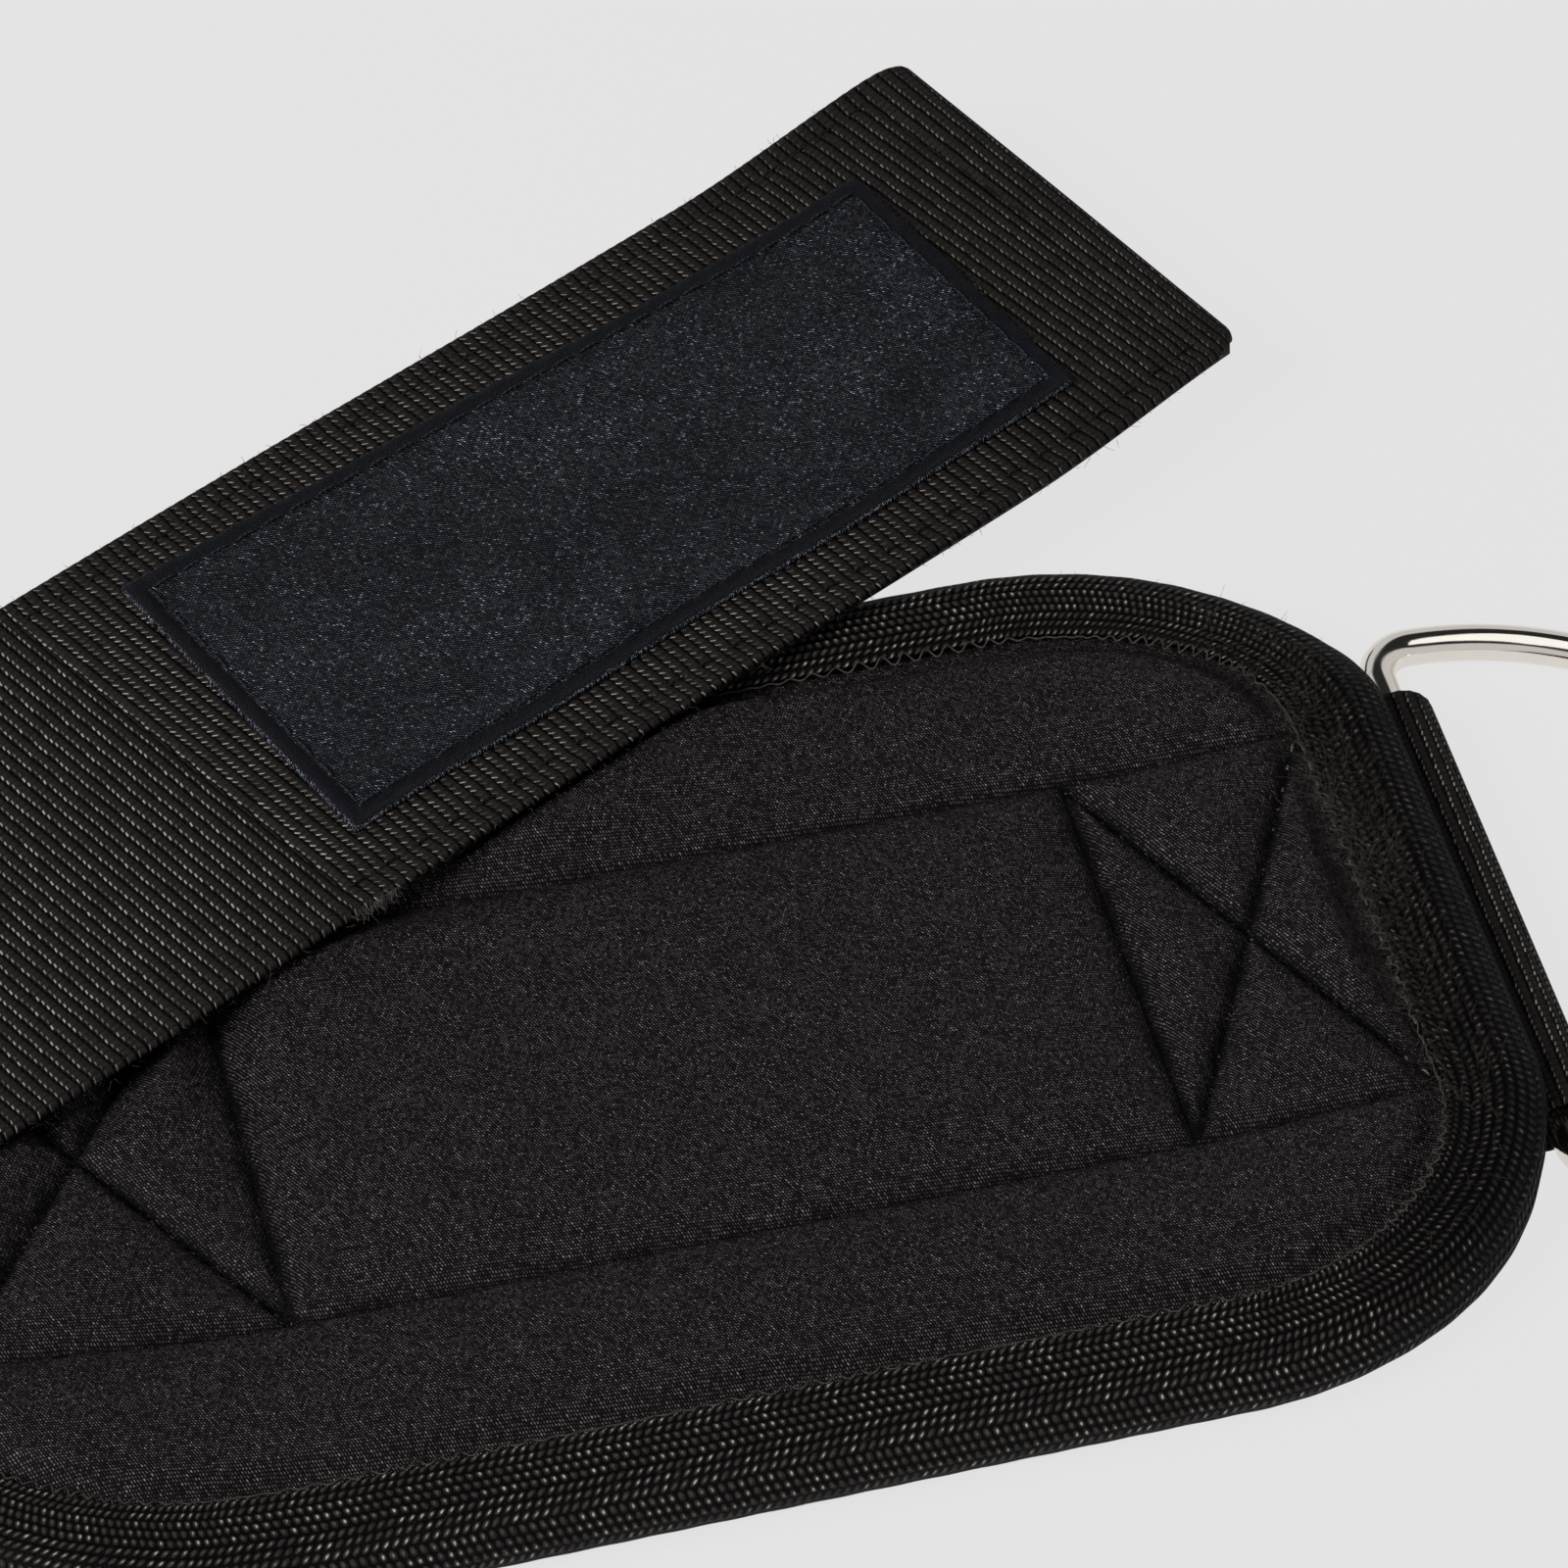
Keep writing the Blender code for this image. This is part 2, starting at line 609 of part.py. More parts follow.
def build_ring():
    """Steel D-ring, with its origin on the bar's axis, tilted until the bow meets the surface."""
    straight = BOW_RADIUS - RING_CORNER
    reach = RING_CORNER + BOW_RADIUS
    tilt = math.asin((BAR_Z - WIRE / 2 - RING_FLOOR_CLEARANCE) / reach)
    bar = [(0.0, y) for y in np.linspace(-straight, straight, 6)]
    corner = np.linspace(math.pi, math.pi / 2, 6)[1:]
    upper = [(RING_CORNER + RING_CORNER * math.cos(a), straight + RING_CORNER * math.sin(a))
             for a in corner]
    bow = [(RING_CORNER + BOW_RADIUS * math.cos(a), BOW_RADIUS * math.sin(a))
           for a in np.linspace(math.pi / 2, -math.pi / 2, 29)[1:-1]]
    lower = [(p, -y) for p, y in reversed(upper)]
    route = bar + upper + bow + lower
    curve = bpy.data.curves.new("d_ring", "CURVE")
    curve.dimensions = "3D"
    curve.bevel_depth = WIRE / 2
    curve.bevel_resolution = WIRE_BEVEL_STEPS
    spline = curve.splines.new("POLY")
    spline.points.add(len(route) - 1)
    for point, (p, y) in zip(spline.points, route):
        point.co = (p, y, 0.0, 1.0)
    spline.use_cyclic_u = True
    ring = finish("d_ring", (0.72, 0.71, 0.69), 0.12, 1.0, curve)
    ring.location = (BAR_X, BAR_Y, BAR_Z)
    ring.rotation_euler = (0.0, tilt, 0.0)


build_pad()
build_binding()
build_strap()
build_patch()
build_label()
build_ring()
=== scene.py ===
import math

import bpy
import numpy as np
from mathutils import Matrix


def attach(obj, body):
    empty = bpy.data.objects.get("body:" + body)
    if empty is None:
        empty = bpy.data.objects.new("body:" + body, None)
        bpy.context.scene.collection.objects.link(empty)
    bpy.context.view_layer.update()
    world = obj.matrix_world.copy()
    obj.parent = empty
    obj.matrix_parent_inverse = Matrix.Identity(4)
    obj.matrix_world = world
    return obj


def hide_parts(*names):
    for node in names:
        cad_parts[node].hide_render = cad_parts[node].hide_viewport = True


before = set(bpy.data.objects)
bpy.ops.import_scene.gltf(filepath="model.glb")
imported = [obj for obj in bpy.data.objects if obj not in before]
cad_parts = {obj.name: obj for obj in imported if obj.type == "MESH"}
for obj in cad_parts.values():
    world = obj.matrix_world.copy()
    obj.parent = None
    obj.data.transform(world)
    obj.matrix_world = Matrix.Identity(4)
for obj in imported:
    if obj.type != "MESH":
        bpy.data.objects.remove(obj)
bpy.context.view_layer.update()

# Cable ankle cuff lying open, soft side up: a quilted pad with a woven
# binding, a long webbing strap that is sewn under it and comes back over it,
# a bare satin label on the strap's tip and a steel D-ring. Metres, +Z up.


# The webbing strap: one length of heavy 50 mm webbing, woven with thick wefts
# so that ribs run across it. It is folded round the ring's bar, sewn along the
# pad's underside, turned over past the pad's end and laid back over the pad.

strap_width = 0.0500
strap_wall = 0.0017
strap_heading = math.radians(29.3)
strap_bow_radius = 1.957
folded_end = 0.0246
bend_point = -0.1169
over_run = 0.1825
fold_leave = math.radians(35.0)
fold_run_out = 0.0060
fold_ease = 0.45
left_lift = 0.0012
left_lift_end = 0.0560
left_lift_fade = 0.0300
tip_lift = 0.0023
tip_lift_run = 0.0600
tip_drift = 0.0016
tip_drift_start = 0.1540
tip_slant = 0.0017
tip_short = 0.0004
tip_corner = 0.0056
tip_corner_cut = 0.0026
tip_roll = 0.0008
tip_roll_run = 0.0034
piece_gap = 0.0003
bar_play = 0.00025
wire = 0.0034
bar_x = 0.0566
bar_y = 0.0010
patch_wall = 0.0012
pad_top_under_strap = 0.0086
curl_rise = 0.0034
curl_start = -0.0540
curl_run = 0.0360
curl_pressed = 0.6
curl_press_start = -0.0100
curl_press_run = 0.0400
pad_left = -0.0975
curl_fall_start = pad_left + 0.0020
curl_fall_end = bend_point + 0.0075
bend_ease_in = 0.0040
bend_ease_out = 0.0060

rib_pitch = 0.00121
rib_height = 0.00018
fold_crowding = 1.3
yarn_pitch = 0.00070
rib_samples = 5
rib_fullness = 0.7
selvedge_round = 0.0007
face_columns = 30
back_columns = 12

bar_z = strap_wall + bar_play + wire / 2
fold_radius = wire / 2 + bar_play + strap_wall / 2
over_height = pad_top_under_strap + patch_wall + 2 * piece_gap + strap_wall / 2
bend_radius = (over_height + left_lift - strap_wall / 2) / 2
bend_arc = math.pi * bend_radius / math.cos(strap_heading / 2)


def smooth(t):
    """Rise from 0 to 1 with level ends: 3 t squared less 2 t cubed."""
    t = np.clip(t, 0.0, 1.0)
    return t * t * (3.0 - 2.0 * t)


def fold_profile():
    """Side view of the strap round the bar: a level layer, an S climb, and an arc round the wire."""
    second_layer = strap_wall + piece_gap + strap_wall / 2
    away = np.array([math.cos(fold_leave), math.sin(fold_leave)])
    leave = np.array([bar_x - fold_radius * away[1], bar_z + fold_radius * away[0]])
    landing = np.array([leave[0] - fold_run_out, second_layer])
    handle = fold_run_out * fold_ease
    flat_x = np.linspace(folded_end, landing[0], 60)[:-1]
    flat = np.stack([flat_x, np.full_like(flat_x, second_layer)], axis=1)
    t = np.linspace(0.0, 1.0, 40)[:, None]
    near_landing = landing + np.array([handle, 0.0])
    near_leave = leave - handle * away
    climb = ((1 - t) ** 3 * landing + 3 * (1 - t) ** 2 * t * near_landing
             + 3 * (1 - t) * t ** 2 * near_leave + t ** 3 * leave)
    angle = np.linspace(math.pi / 2 + fold_leave, -math.pi / 2, 90)[1:]
    wrap = np.stack([bar_x + fold_radius * np.cos(angle), bar_z + fold_radius * np.sin(angle)], axis=1)
    return np.concatenate([flat, climb, wrap])


fold_line = fold_profile()
fold_lengths = np.concatenate([[0.0], np.cumsum(np.linalg.norm(np.diff(fold_line, axis=0), axis=1))])
fold_length = fold_lengths[-1]
strap_length = fold_length + bar_x - bend_point + bend_arc + over_run


def curl(x, y):
    """Lift of the pad's left end: a smooth rise along x, less where the strap presses."""
    along = smooth((curl_start - x) / curl_run)
    pressed = curl_pressed * smooth((y - curl_press_start) / curl_press_run)
    return curl_rise * along * (1.0 - pressed)


def over_rise(u):
    """Height of the strap's middle over the pad: a low hump at the left and a parabola at the tip."""
    left = left_lift * (1.0 - smooth((u - left_lift_end + left_lift_fade) / left_lift_fade))
    tip = tip_lift * np.clip((u - over_run + tip_lift_run) / tip_lift_run, 0.0, 1.0) ** 2
    return over_height + left + tip


def turned_strap(s, v):
    """The flat strip wrapped on a cylinder set at half the heading, then bowed and lifted.

    s runs from the start of the turn, below 0 on the sewn run; v runs across.
    """
    half = strap_heading / 2
    c = s * math.cos(half) - v * math.sin(half)
    a = s * math.sin(half) + v * math.cos(half)
    half_turn = math.pi * bend_radius
    turn = np.clip(c, 0.0, half_turn) / bend_radius
    out = np.where(c < 0.0, c, bend_radius * np.sin(turn))
    out = np.where(c > half_turn, half_turn - c, out)
    x = bend_point - out * math.cos(half) - a * math.sin(half)
    y = -out * math.sin(half) + a * math.cos(half)
    z = strap_wall / 2 + bend_radius * (1.0 - np.cos(turn))
    fall = 1.0 - smooth((curl_fall_start - x) / (curl_fall_start - curl_fall_end))
    z = z + smooth(-c / bend_ease_in) * curl(x, y) * fall
    beyond = np.maximum(s - bend_arc, 0.0)
    z = z + smooth((c - half_turn) / bend_ease_out) * (over_rise(beyond) - over_height - left_lift)
    side = beyond ** 2 / (2 * strap_bow_radius)
    side = side - tip_drift * smooth((beyond - tip_drift_start) / (over_run - tip_drift_start))
    return np.stack([x + side * math.sin(strap_heading), y - side * math.cos(strap_heading), z], axis=-1)


def strap_middle(t, v):
    """Middle face of the whole strap, t from its folded end: the fold's profile, then the turned strip."""
    fold = np.stack([np.interp(t, fold_lengths, fold_line[:, 0]), v,
                     np.interp(t, fold_lengths, fold_line[:, 1])], axis=-1)
    rest = turned_strap(t - fold_length - (bar_x - bend_point), v)
    return np.where((t < fold_length)[..., None], fold, rest)


def on_strap(u, v, height):
    """Points at a height off the strap's middle face over the pad, square to it."""
    step = 0.0004
    middle = turned_strap(u + bend_arc, v)
    along = turned_strap(u + bend_arc + step, v) - turned_strap(u + bend_arc - step, v)
    side = turned_strap(u + bend_arc, v + step) - turned_strap(u + bend_arc, v - step)
    normal = np.cross(along, side)
    normal = normal / np.linalg.norm(normal, axis=-1, keepdims=True)
    return middle + np.asarray(height)[..., None] * normal


def square_to(points):
    """Unit normals of a grid of points: the cross product of its two directions."""
    normal = np.cross(np.gradient(points, axis=0), np.gradient(points, axis=1))
    return normal / np.maximum(np.linalg.norm(normal, axis=-1, keepdims=True), 1e-12)


def mesh_of(name, points, quads, quad_weave, caps=(), cap_weave=None):
    """Mesh object from arrays, with a UV map named weave that holds millimetres of cloth."""
    cap_loops = [np.asarray(cap) for cap in caps]
    loops = np.concatenate([quads.ravel()] + cap_loops).astype(np.int32)
    totals = np.concatenate([np.full(len(quads), 4), [len(c) for c in cap_loops]]).astype(np.int32)
    mesh = bpy.data.meshes.new(name)
    mesh.vertices.add(len(points))
    mesh.vertices.foreach_set("co", points.astype(np.float32).ravel())
    mesh.loops.add(len(loops))
    mesh.loops.foreach_set("vertex_index", loops)
    mesh.polygons.add(len(totals))
    mesh.polygons.foreach_set("loop_start", (np.cumsum(totals) - totals).astype(np.int32))
    mesh.update(calc_edges=True)
    uv = [quad_weave.reshape(-1, 2)]
    if len(cap_loops):
        uv += [cap_weave[cap] for cap in cap_loops]
    layer = mesh.uv_layers.new(name="weave")
    layer.uv.foreach_set("vector", np.concatenate(uv).astype(np.float32).ravel())
    mesh.shade_smooth()
    piece = bpy.data.objects.new(name, mesh)
    bpy.context.scene.collection.objects.link(piece)
    return piece


def carried(name, sections, weave, closed=False):
    """Skin over sections carried along a path; weave has one more station when the path is closed."""
    stations, around, _ = sections.shape
    spans = stations if closed else stations - 1
    i, j = (k.ravel() for k in np.meshgrid(np.arange(spans), np.arange(around), indexing="ij"))
    side = (j + 1) % around
    after = (i + 1) % stations
    quads = np.stack([i * around + j, after * around + j, after * around + side, i * around + side], axis=1)
    uv = np.stack([weave[i, j], weave[i + 1, j], weave[i + 1, side], weave[i, side]], axis=1)
    caps = ()
    if not closed:
        first = np.arange(around)
        caps = (first, ((stations - 1) * around + first)[::-1])
    return mesh_of(name, sections.reshape(-1, 3), quads, uv, caps, weave.reshape(-1, 2))


def edge_half(across, half, round_off, wall):
    """Half thickness of a wall whose long edges are rounded as quarter ellipses, never quite to nothing."""
    least = 0.02
    past = np.clip((np.abs(across) - half + round_off) / round_off, 0.0, 1.0)
    return wall / 2 * np.sqrt(np.maximum(1.0 - past ** 2, least))


class Field:
    """A number that varies over a surface. Arithmetic on it adds the Math nodes that work it out."""

    def __init__(self, tree, socket):
        self.tree = tree
        self.socket = socket

    def run(self, operation, *others):
        node = self.tree.nodes.new("ShaderNodeMath")
        node.operation = operation
        for place, value in enumerate((self,) + others):
            if isinstance(value, Field):
                self.tree.links.new(value.socket, node.inputs[place])
            else:
                node.inputs[place].default_value = value
        return Field(self.tree, node.outputs[0])

    def __add__(self, other):
        return self.run("ADD", other)

    def __sub__(self, other):
        return self.run("SUBTRACT", other)

    def __mul__(self, other):
        return self.run("MULTIPLY", other)

    def __truediv__(self, other):
        return self.run("DIVIDE", other)

    def rsub(self, value):
        return self.run("MULTIPLY_ADD", -1.0, value)

    def floor(self):
        return self.run("FLOOR")

    def centred(self):
        """Place inside a unit cell, from -0.5 to 0.5."""
        return self.run("FRACT") - 0.5

    def size(self):
        return self.run("ABSOLUTE")

    def between(self, low, high):
        """0 below low and 1 above high, with level ends; falls instead where low is the larger."""
        node = self.tree.nodes.new("ShaderNodeMapRange")
        node.interpolation_type = "SMOOTHSTEP"
        flip = low > high
        self.tree.links.new(self.socket, node.inputs["Value"])
        node.inputs["From Min"].default_value = min(low, high)
        node.inputs["From Max"].default_value = max(low, high)
        node.inputs["To Min"].default_value = 1.0 if flip else 0.0
        node.inputs["To Max"].default_value = 0.0 if flip else 1.0
        return Field(self.tree, node.outputs[0])


class Cloth:
    """A cloth material: its node tree, its shader, and the weave's two lengths in millimetres."""

    def __init__(self, name, roughness, sheen=0.0, specular=0.5):
        self.material = bpy.data.materials.new(name)
        self.material.use_nodes = True
        self.tree = self.material.node_tree
        self.shader = self.tree.nodes["Principled BSDF"]
        self.shader.inputs["Roughness"].default_value = roughness
        self.shader.inputs["Sheen Weight"].default_value = sheen
        self.shader.inputs["Sheen Roughness"].default_value = 0.5
        self.shader.inputs["Specular IOR Level"].default_value = specular
        self.map = self.tree.nodes.new("ShaderNodeUVMap")
        self.map.uv_map = "weave"
        split = self.tree.nodes.new("ShaderNodeSeparateXYZ")
        self.tree.links.new(self.map.outputs["UV"], split.inputs[0])
        self.across = Field(self.tree, split.outputs["X"])
        self.along = Field(self.tree, split.outputs["Y"])

    def value(self, name):
        """A number stored on the piece's points."""
        node = self.tree.nodes.new("ShaderNodeAttribute")
        node.attribute_name = name
        return Field(self.tree, node.outputs["Fac"])

    def chance(self, first, second):
        """A random number from 0 to 1, the same all over one cell of the two whole numbers."""
        cell = self.tree.nodes.new("ShaderNodeCombineXYZ")
        self.tree.links.new(first.socket, cell.inputs["X"])
        self.tree.links.new(second.socket, cell.inputs["Y"])
        noise = self.tree.nodes.new("ShaderNodeTexWhiteNoise")
        noise.noise_dimensions = "2D"
        self.tree.links.new(cell.outputs[0], noise.inputs["Vector"])
        return Field(self.tree, noise.outputs["Value"])

    def cloud(self, size, detail=2.0, stretch=(1.0, 1.0)):
        """Soft noise from 0 to 1 with features of a size in millimetres."""
        scale = self.tree.nodes.new("ShaderNodeMapping")
        scale.inputs["Scale"].default_value = (stretch[0] / size, stretch[1] / size, 1.0)
        self.tree.links.new(self.map.outputs["UV"], scale.inputs["Vector"])
        noise = self.tree.nodes.new("ShaderNodeTexNoise")
        noise.inputs["Scale"].default_value = 1.0
        noise.inputs["Detail"].default_value = detail
        self.tree.links.new(scale.outputs["Vector"], noise.inputs["Vector"])
        return Field(self.tree, noise.outputs["Fac"])

    def colours(self, share, low, high):
        """Colour that goes from low to high with the share."""
        mix = self.tree.nodes.new("ShaderNodeMix")
        mix.data_type = "RGBA"
        self.tree.links.new(share.socket, mix.inputs["Factor"])
        for socket, colour in ((mix.inputs["A"], low), (mix.inputs["B"], high)):
            if isinstance(colour, tuple):
                socket.default_value = (*colour, 1.0)
            else:
                self.tree.links.new(colour, socket)
        return mix.outputs["Result"]

    def finish(self, colour, relief, depth):
        """Wire the colour and a bump of that depth in metres."""
        bump = self.tree.nodes.new("ShaderNodeBump")
        bump.inputs["Strength"].default_value = 1.0
        bump.inputs["Distance"].default_value = depth
        self.tree.links.new(relief.socket, bump.inputs["Height"])
        self.tree.links.new(colour, self.shader.inputs["Base Color"])
        self.tree.links.new(bump.outputs["Normal"], self.shader.inputs["Normal"])
        return self.material


def rib_run(length):
    """Length counted in woven pitches: on the fold the ribs stand closer, so it counts faster there."""
    return length + (fold_crowding - 1.0) * np.minimum(length, fold_length)


def rib_wave(length):
    """Height of the ribs from 0 to 1: a cosine crest at the middle of each pitch, broadened by a power."""
    crest = 0.5 - 0.5 * np.cos(2 * math.pi * rib_run(length) / rib_pitch)
    return crest ** rib_fullness


stitch_box_start = 0.0751
stitch_box_end = 0.1770
stitch_box_half = 0.0222
stitch_groove = 0.00028
stitch_groove_width = 0.0006

end_cuts = np.array([0.0, 0.00012, 0.0003, 0.0006])
edge_cuts = np.array([0.0006, 0.0003, 0.0001, 0.0])
edge_gap = 0.0002
even_steps = 4000
normal_columns = 5
scallop_depth = 0.00010
scallop_start = 0.9
end_round = 0.0006
end_thin = 0.45
flank_width = 0.0035
flank_rib = 0.35
tip_ease = 0.0120
far_corner_cut = 0.35


def box_distance(u, v):
    """Distance of points from the outline of the box that the fastener patch is sewn with."""
    du = np.maximum(stitch_box_start - u, u - stitch_box_end)
    dv = np.abs(v) - stitch_box_half
    inside = np.minimum(np.maximum(du, dv), 0.0)
    return np.abs(inside + np.hypot(np.maximum(du, 0.0), np.maximum(dv, 0.0)))


def strap_sections():
    """Closed sections of the strap: its ribbed outer face, then its ribbed inner face back."""
    rows = int(round(rib_run(strap_length) / rib_pitch * rib_samples))
    evenly = np.linspace(0.0, strap_length, even_steps)
    t = np.interp(np.linspace(0.0, rib_run(strap_length), rows), rib_run(evenly), evenly)
    t = np.concatenate([end_cuts, t[len(end_cuts):-len(end_cuts)], strap_length - end_cuts[::-1]])
    half = strap_width / 2
    inner = half - selvedge_round - edge_gap
    middle_columns = np.linspace(-inner, inner, face_columns)
    face = np.concatenate([-half + edge_cuts[::-1], middle_columns, half - edge_cuts])
    back = np.linspace(inner, -inner, back_columns)
    v = np.concatenate([face, back])
    outer = np.concatenate([np.ones(len(face)), np.zeros(len(back))])
    grid_t, grid_v = np.meshgrid(t, v, indexing="ij")
    valley = rib_wave(grid_t + rib_pitch / 2) - 1.0
    near_edge = smooth((np.abs(grid_v) / half - scallop_start) / (1.0 - scallop_start))
    placed_v = grid_v + np.sign(grid_v) * scallop_depth * valley * near_edge
    from_tip = strap_length - grid_t
    placed_t = grid_t + (tip_slant * grid_v / half - tip_short) * (1.0 - smooth(from_tip / tip_ease))
    corner = np.clip(1.0 - from_tip / tip_corner, 0.0, 1.0)
    cut = tip_corner_cut * (1.0 - np.sqrt(1.0 - corner ** 2))
    placed_v = placed_v - np.where(grid_v < 0.0, -1.0, far_corner_cut) * cut * np.abs(grid_v) / half
    middle = strap_middle(placed_t, placed_v)
    middle[..., 2] -= tip_roll * np.clip(1.0 - from_tip / tip_roll_run, 0.0, 1.0) ** 2
    few = np.linspace(-half, half, normal_columns)
    normal = square_to(strap_middle(*np.meshgrid(t, few, indexing="ij")))
    column = np.interp(v, few, np.arange(normal_columns))
    low = np.floor(column).astype(int)
    high = np.minimum(low + 1, normal_columns - 1)
    part = (column - low)[None, :, None]
    normal = normal[:, low] * (1 - part) + normal[:, high] * part
    thick = edge_half(grid_v, half, selvedge_round, strap_wall)
    from_end = np.minimum(grid_t, strap_length - grid_t)
    thick = thick * (end_thin + (1.0 - end_thin) * np.sqrt(np.clip(from_end / end_round, 0.0, 1.0)))
    flank = smooth((half - np.abs(grid_v)) / flank_width)
    face_rib = rib_height * (flank_rib + (1.0 - flank_rib) * flank) * (rib_wave(grid_t) - 1.0)
    back_rib = rib_height * valley
    u = grid_t - (strap_length - over_run)
    groove = stitch_groove * np.exp(-(box_distance(u, grid_v) / stitch_groove_width) ** 2)
    lift = np.where(outer > 0.0, thick + face_rib - groove, -thick - back_rib)
    weave = np.stack([grid_v, rib_run(grid_t)], axis=-1) * 1000.0
    return middle + lift[..., None] * normal, weave


yarn_dark = (0.0030, 0.0026, 0.0025)
yarn_light = (0.0225, 0.0190, 0.0180)
# hole_shade_black: painted shade in the holes and in the gaps between yarns
hole_shade_black = (0.0010, 0.0009, 0.0008)
# float_highlight: colour of the painted highlight on each float's crest
float_highlight = (0.325, 0.290, 0.250)
rib_wander = 0.16
yarn_wander = 0.7
float_place = 0.30
float_slope = 0.14
sewn_slope = -0.72
float_scatter = 0.12
float_width = (0.105, 0.035)
float_reach = (0.46, 0.20)
hole_rib_share = (0.32, 0.45)
hole_yarn_share = (0.49, 0.30)
divider_shade_share = (0.40, 0.49)
weave_depth = 0.00024


def webbing_material():
    """Charcoal webbing: floats with painted highlights beside a row of holes painted black as shade in each
    rib, and brown blocks between.

    Each float lies along its rib, and aslant where the fastener patch is sewn on behind.
    The painted float highlights are dimmer near the long edges and towards the tip.
    """
    cloth = Cloth("webbing_weave", roughness=0.55, specular=0.03)
    edge = cloth.across.size().between(17.5, 23.0)
    seam = rib_run(strap_length - over_run + stitch_box_start) * 1000.0
    sewn = cloth.along.between(seam - 1.0, seam + 3.0) * cloth.along.between(seam + 92.0, seam + 66.0)
    to_tip = cloth.along.between(seam + 55.0, seam + 90.0)
    ribs = cloth.along / (rib_pitch * 1000.0) + (cloth.cloud(4.0) - 0.5) * rib_wander
    yarns = cloth.across / (yarn_pitch * 1000.0) + (cloth.cloud(7.0) - 0.5) * yarn_wander
    rib = ribs.centred()
    yarn = yarns.centred()
    chance = cloth.chance(ribs.floor(), yarns.floor())
    fine = cloth.cloud(0.17, 3.0)
    grain = cloth.cloud(0.45, 2.0)
    step = rib + float_place - yarn * (sewn * sewn_slope + float_slope) + (chance - 0.5) * float_scatter
    float_line = step.size().between(*float_width) * yarn.size().between(*float_reach)
    # strength of the painted float highlights, weaker near the long edges and the tip
    highlight_strength = (chance * 0.80 + 0.25) * (fine * 1.2 + 0.15)
    highlight_strength = highlight_strength * (edge * -0.25 + 1.0) * (to_tip * -0.45 + 1.0)
    # the holes and the gaps between yarns are painted near black as shade
    hole = rib.size().between(*hole_rib_share) * yarn.size().between(*hole_yarn_share)
    divider_shade = yarn.size().between(*divider_shade_share) * 0.75
    body = cloth.colours(fine * grain * 2.0, yarn_dark, yarn_light)
    hole_shaded = cloth.colours(hole.run("MAXIMUM", divider_shade), body, hole_shade_black)
    colour = cloth.colours((float_line * highlight_strength).between(0.0, 1.0), hole_shaded, float_highlight)
    relief = yarn.size().between(0.5, 0.05) * 0.5 + float_line * 0.35 - hole * 0.9 + fine * 0.22
    return cloth.finish(colour, relief, weave_depth)


sections, weave = strap_sections()
strap = carried("webbing_strap", sections, weave)
strap.data.materials.append(webbing_material())
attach(strap, "cuff")
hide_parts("strap")


# The quilted pad: soft foam between two layers of fine black knit. Two long
# seams and a crossed box at each end are sewn through it, so that low cushions
# stand between dark grooves. Its rim is tucked into the binding.

pad_right = 0.0548
pad_half_width = 0.0480
corner_along = 0.0330
corner_across = 0.0270
binding_width = 0.0086
binding_wall = 0.0012
binding_play = 0.0006
pad_tuck = 0.0032
pad_tuck_middle = 0.0017
side_foot = 0.0008
rim_foam_side = 0.0040
rim_foam_on_strap = 0.0022
seam_floor = 0.0072
panel_puff = 0.0022
puff_reach = 0.0048
right_raise = 0.0012
raise_run = 0.0200
seam_half = 0.0213
right_box_start = 0.0244
left_box_end = -0.0548
left_box_length = 0.0290
webbing_margin = 0.0005
side_fall = 0.0140
fold_step_before = 0.0050
fold_step_run = 0.0040
rim_ease_before = 0.0040
rim_ease_run = 0.0120
binding_step = 0.0030
binding_step_set = 0.0006
press_gap = 0.0004
press_reach = 0.0059
press_before_bend = 0.0100
patch_length = 0.1045
patch_width = 0.0470
patch_end_margin = 0.0030
patch_step_before = 0.0060
patch_step_run = 0.0040

pad_columns = 262
pad_rows = 171
groove_depth = 0.00120
groove_width = 0.00055
gather_height = 0.00011
gather_reach = 0.0026
gather_pitch = 0.0011
edge_bulge = 0.0014
edge_bulge_set = 0.0012
edge_bulge_reach = 0.0042
edge_bulge_start = 0.0010
edge_bulge_ease = 0.0040
patch_edge_gap = 0.0002
patch_edge_ease = 0.0008
long_seam_crease = 0.7
long_seam_gathers = 0.25
gather_drift = 0.35
gather_drift_run = 0.0031
gather_beat_run = 0.0047
swell_height = 0.00022
swell_size = 0.0300
swell_ease = 0.0080
swell_seed = 3
# width and strength of the painted shadow in the seam slits
long_slit = 0.00035
box_slit = 0.00060
long_slit_depth = 0.8
slit_wander = 0.35
slit_wander_run = 0.0013

pad_middle = (pad_right + pad_left) / 2
pad_half_length = (pad_right - pad_left) / 2
fold_rising = fold_line[:int(np.argmax(fold_line[:, 0]))]
fold_heading = np.gradient(fold_rising, axis=0)
fold_heading = fold_heading / np.linalg.norm(fold_heading, axis=1, keepdims=True)
fold_side = np.stack([-fold_heading[:, 1], fold_heading[:, 0]], axis=1)
fold_face = fold_rising + (strap_wall / 2 + piece_gap) * fold_side


def corner_parts(x, y):
    """Distances past the centres of the rounded corners."""
    beyond_x = np.abs(x - pad_middle) - (pad_half_length - corner_along)
    beyond_y = np.abs(y) - (pad_half_width - corner_across)
    return beyond_x, beyond_y


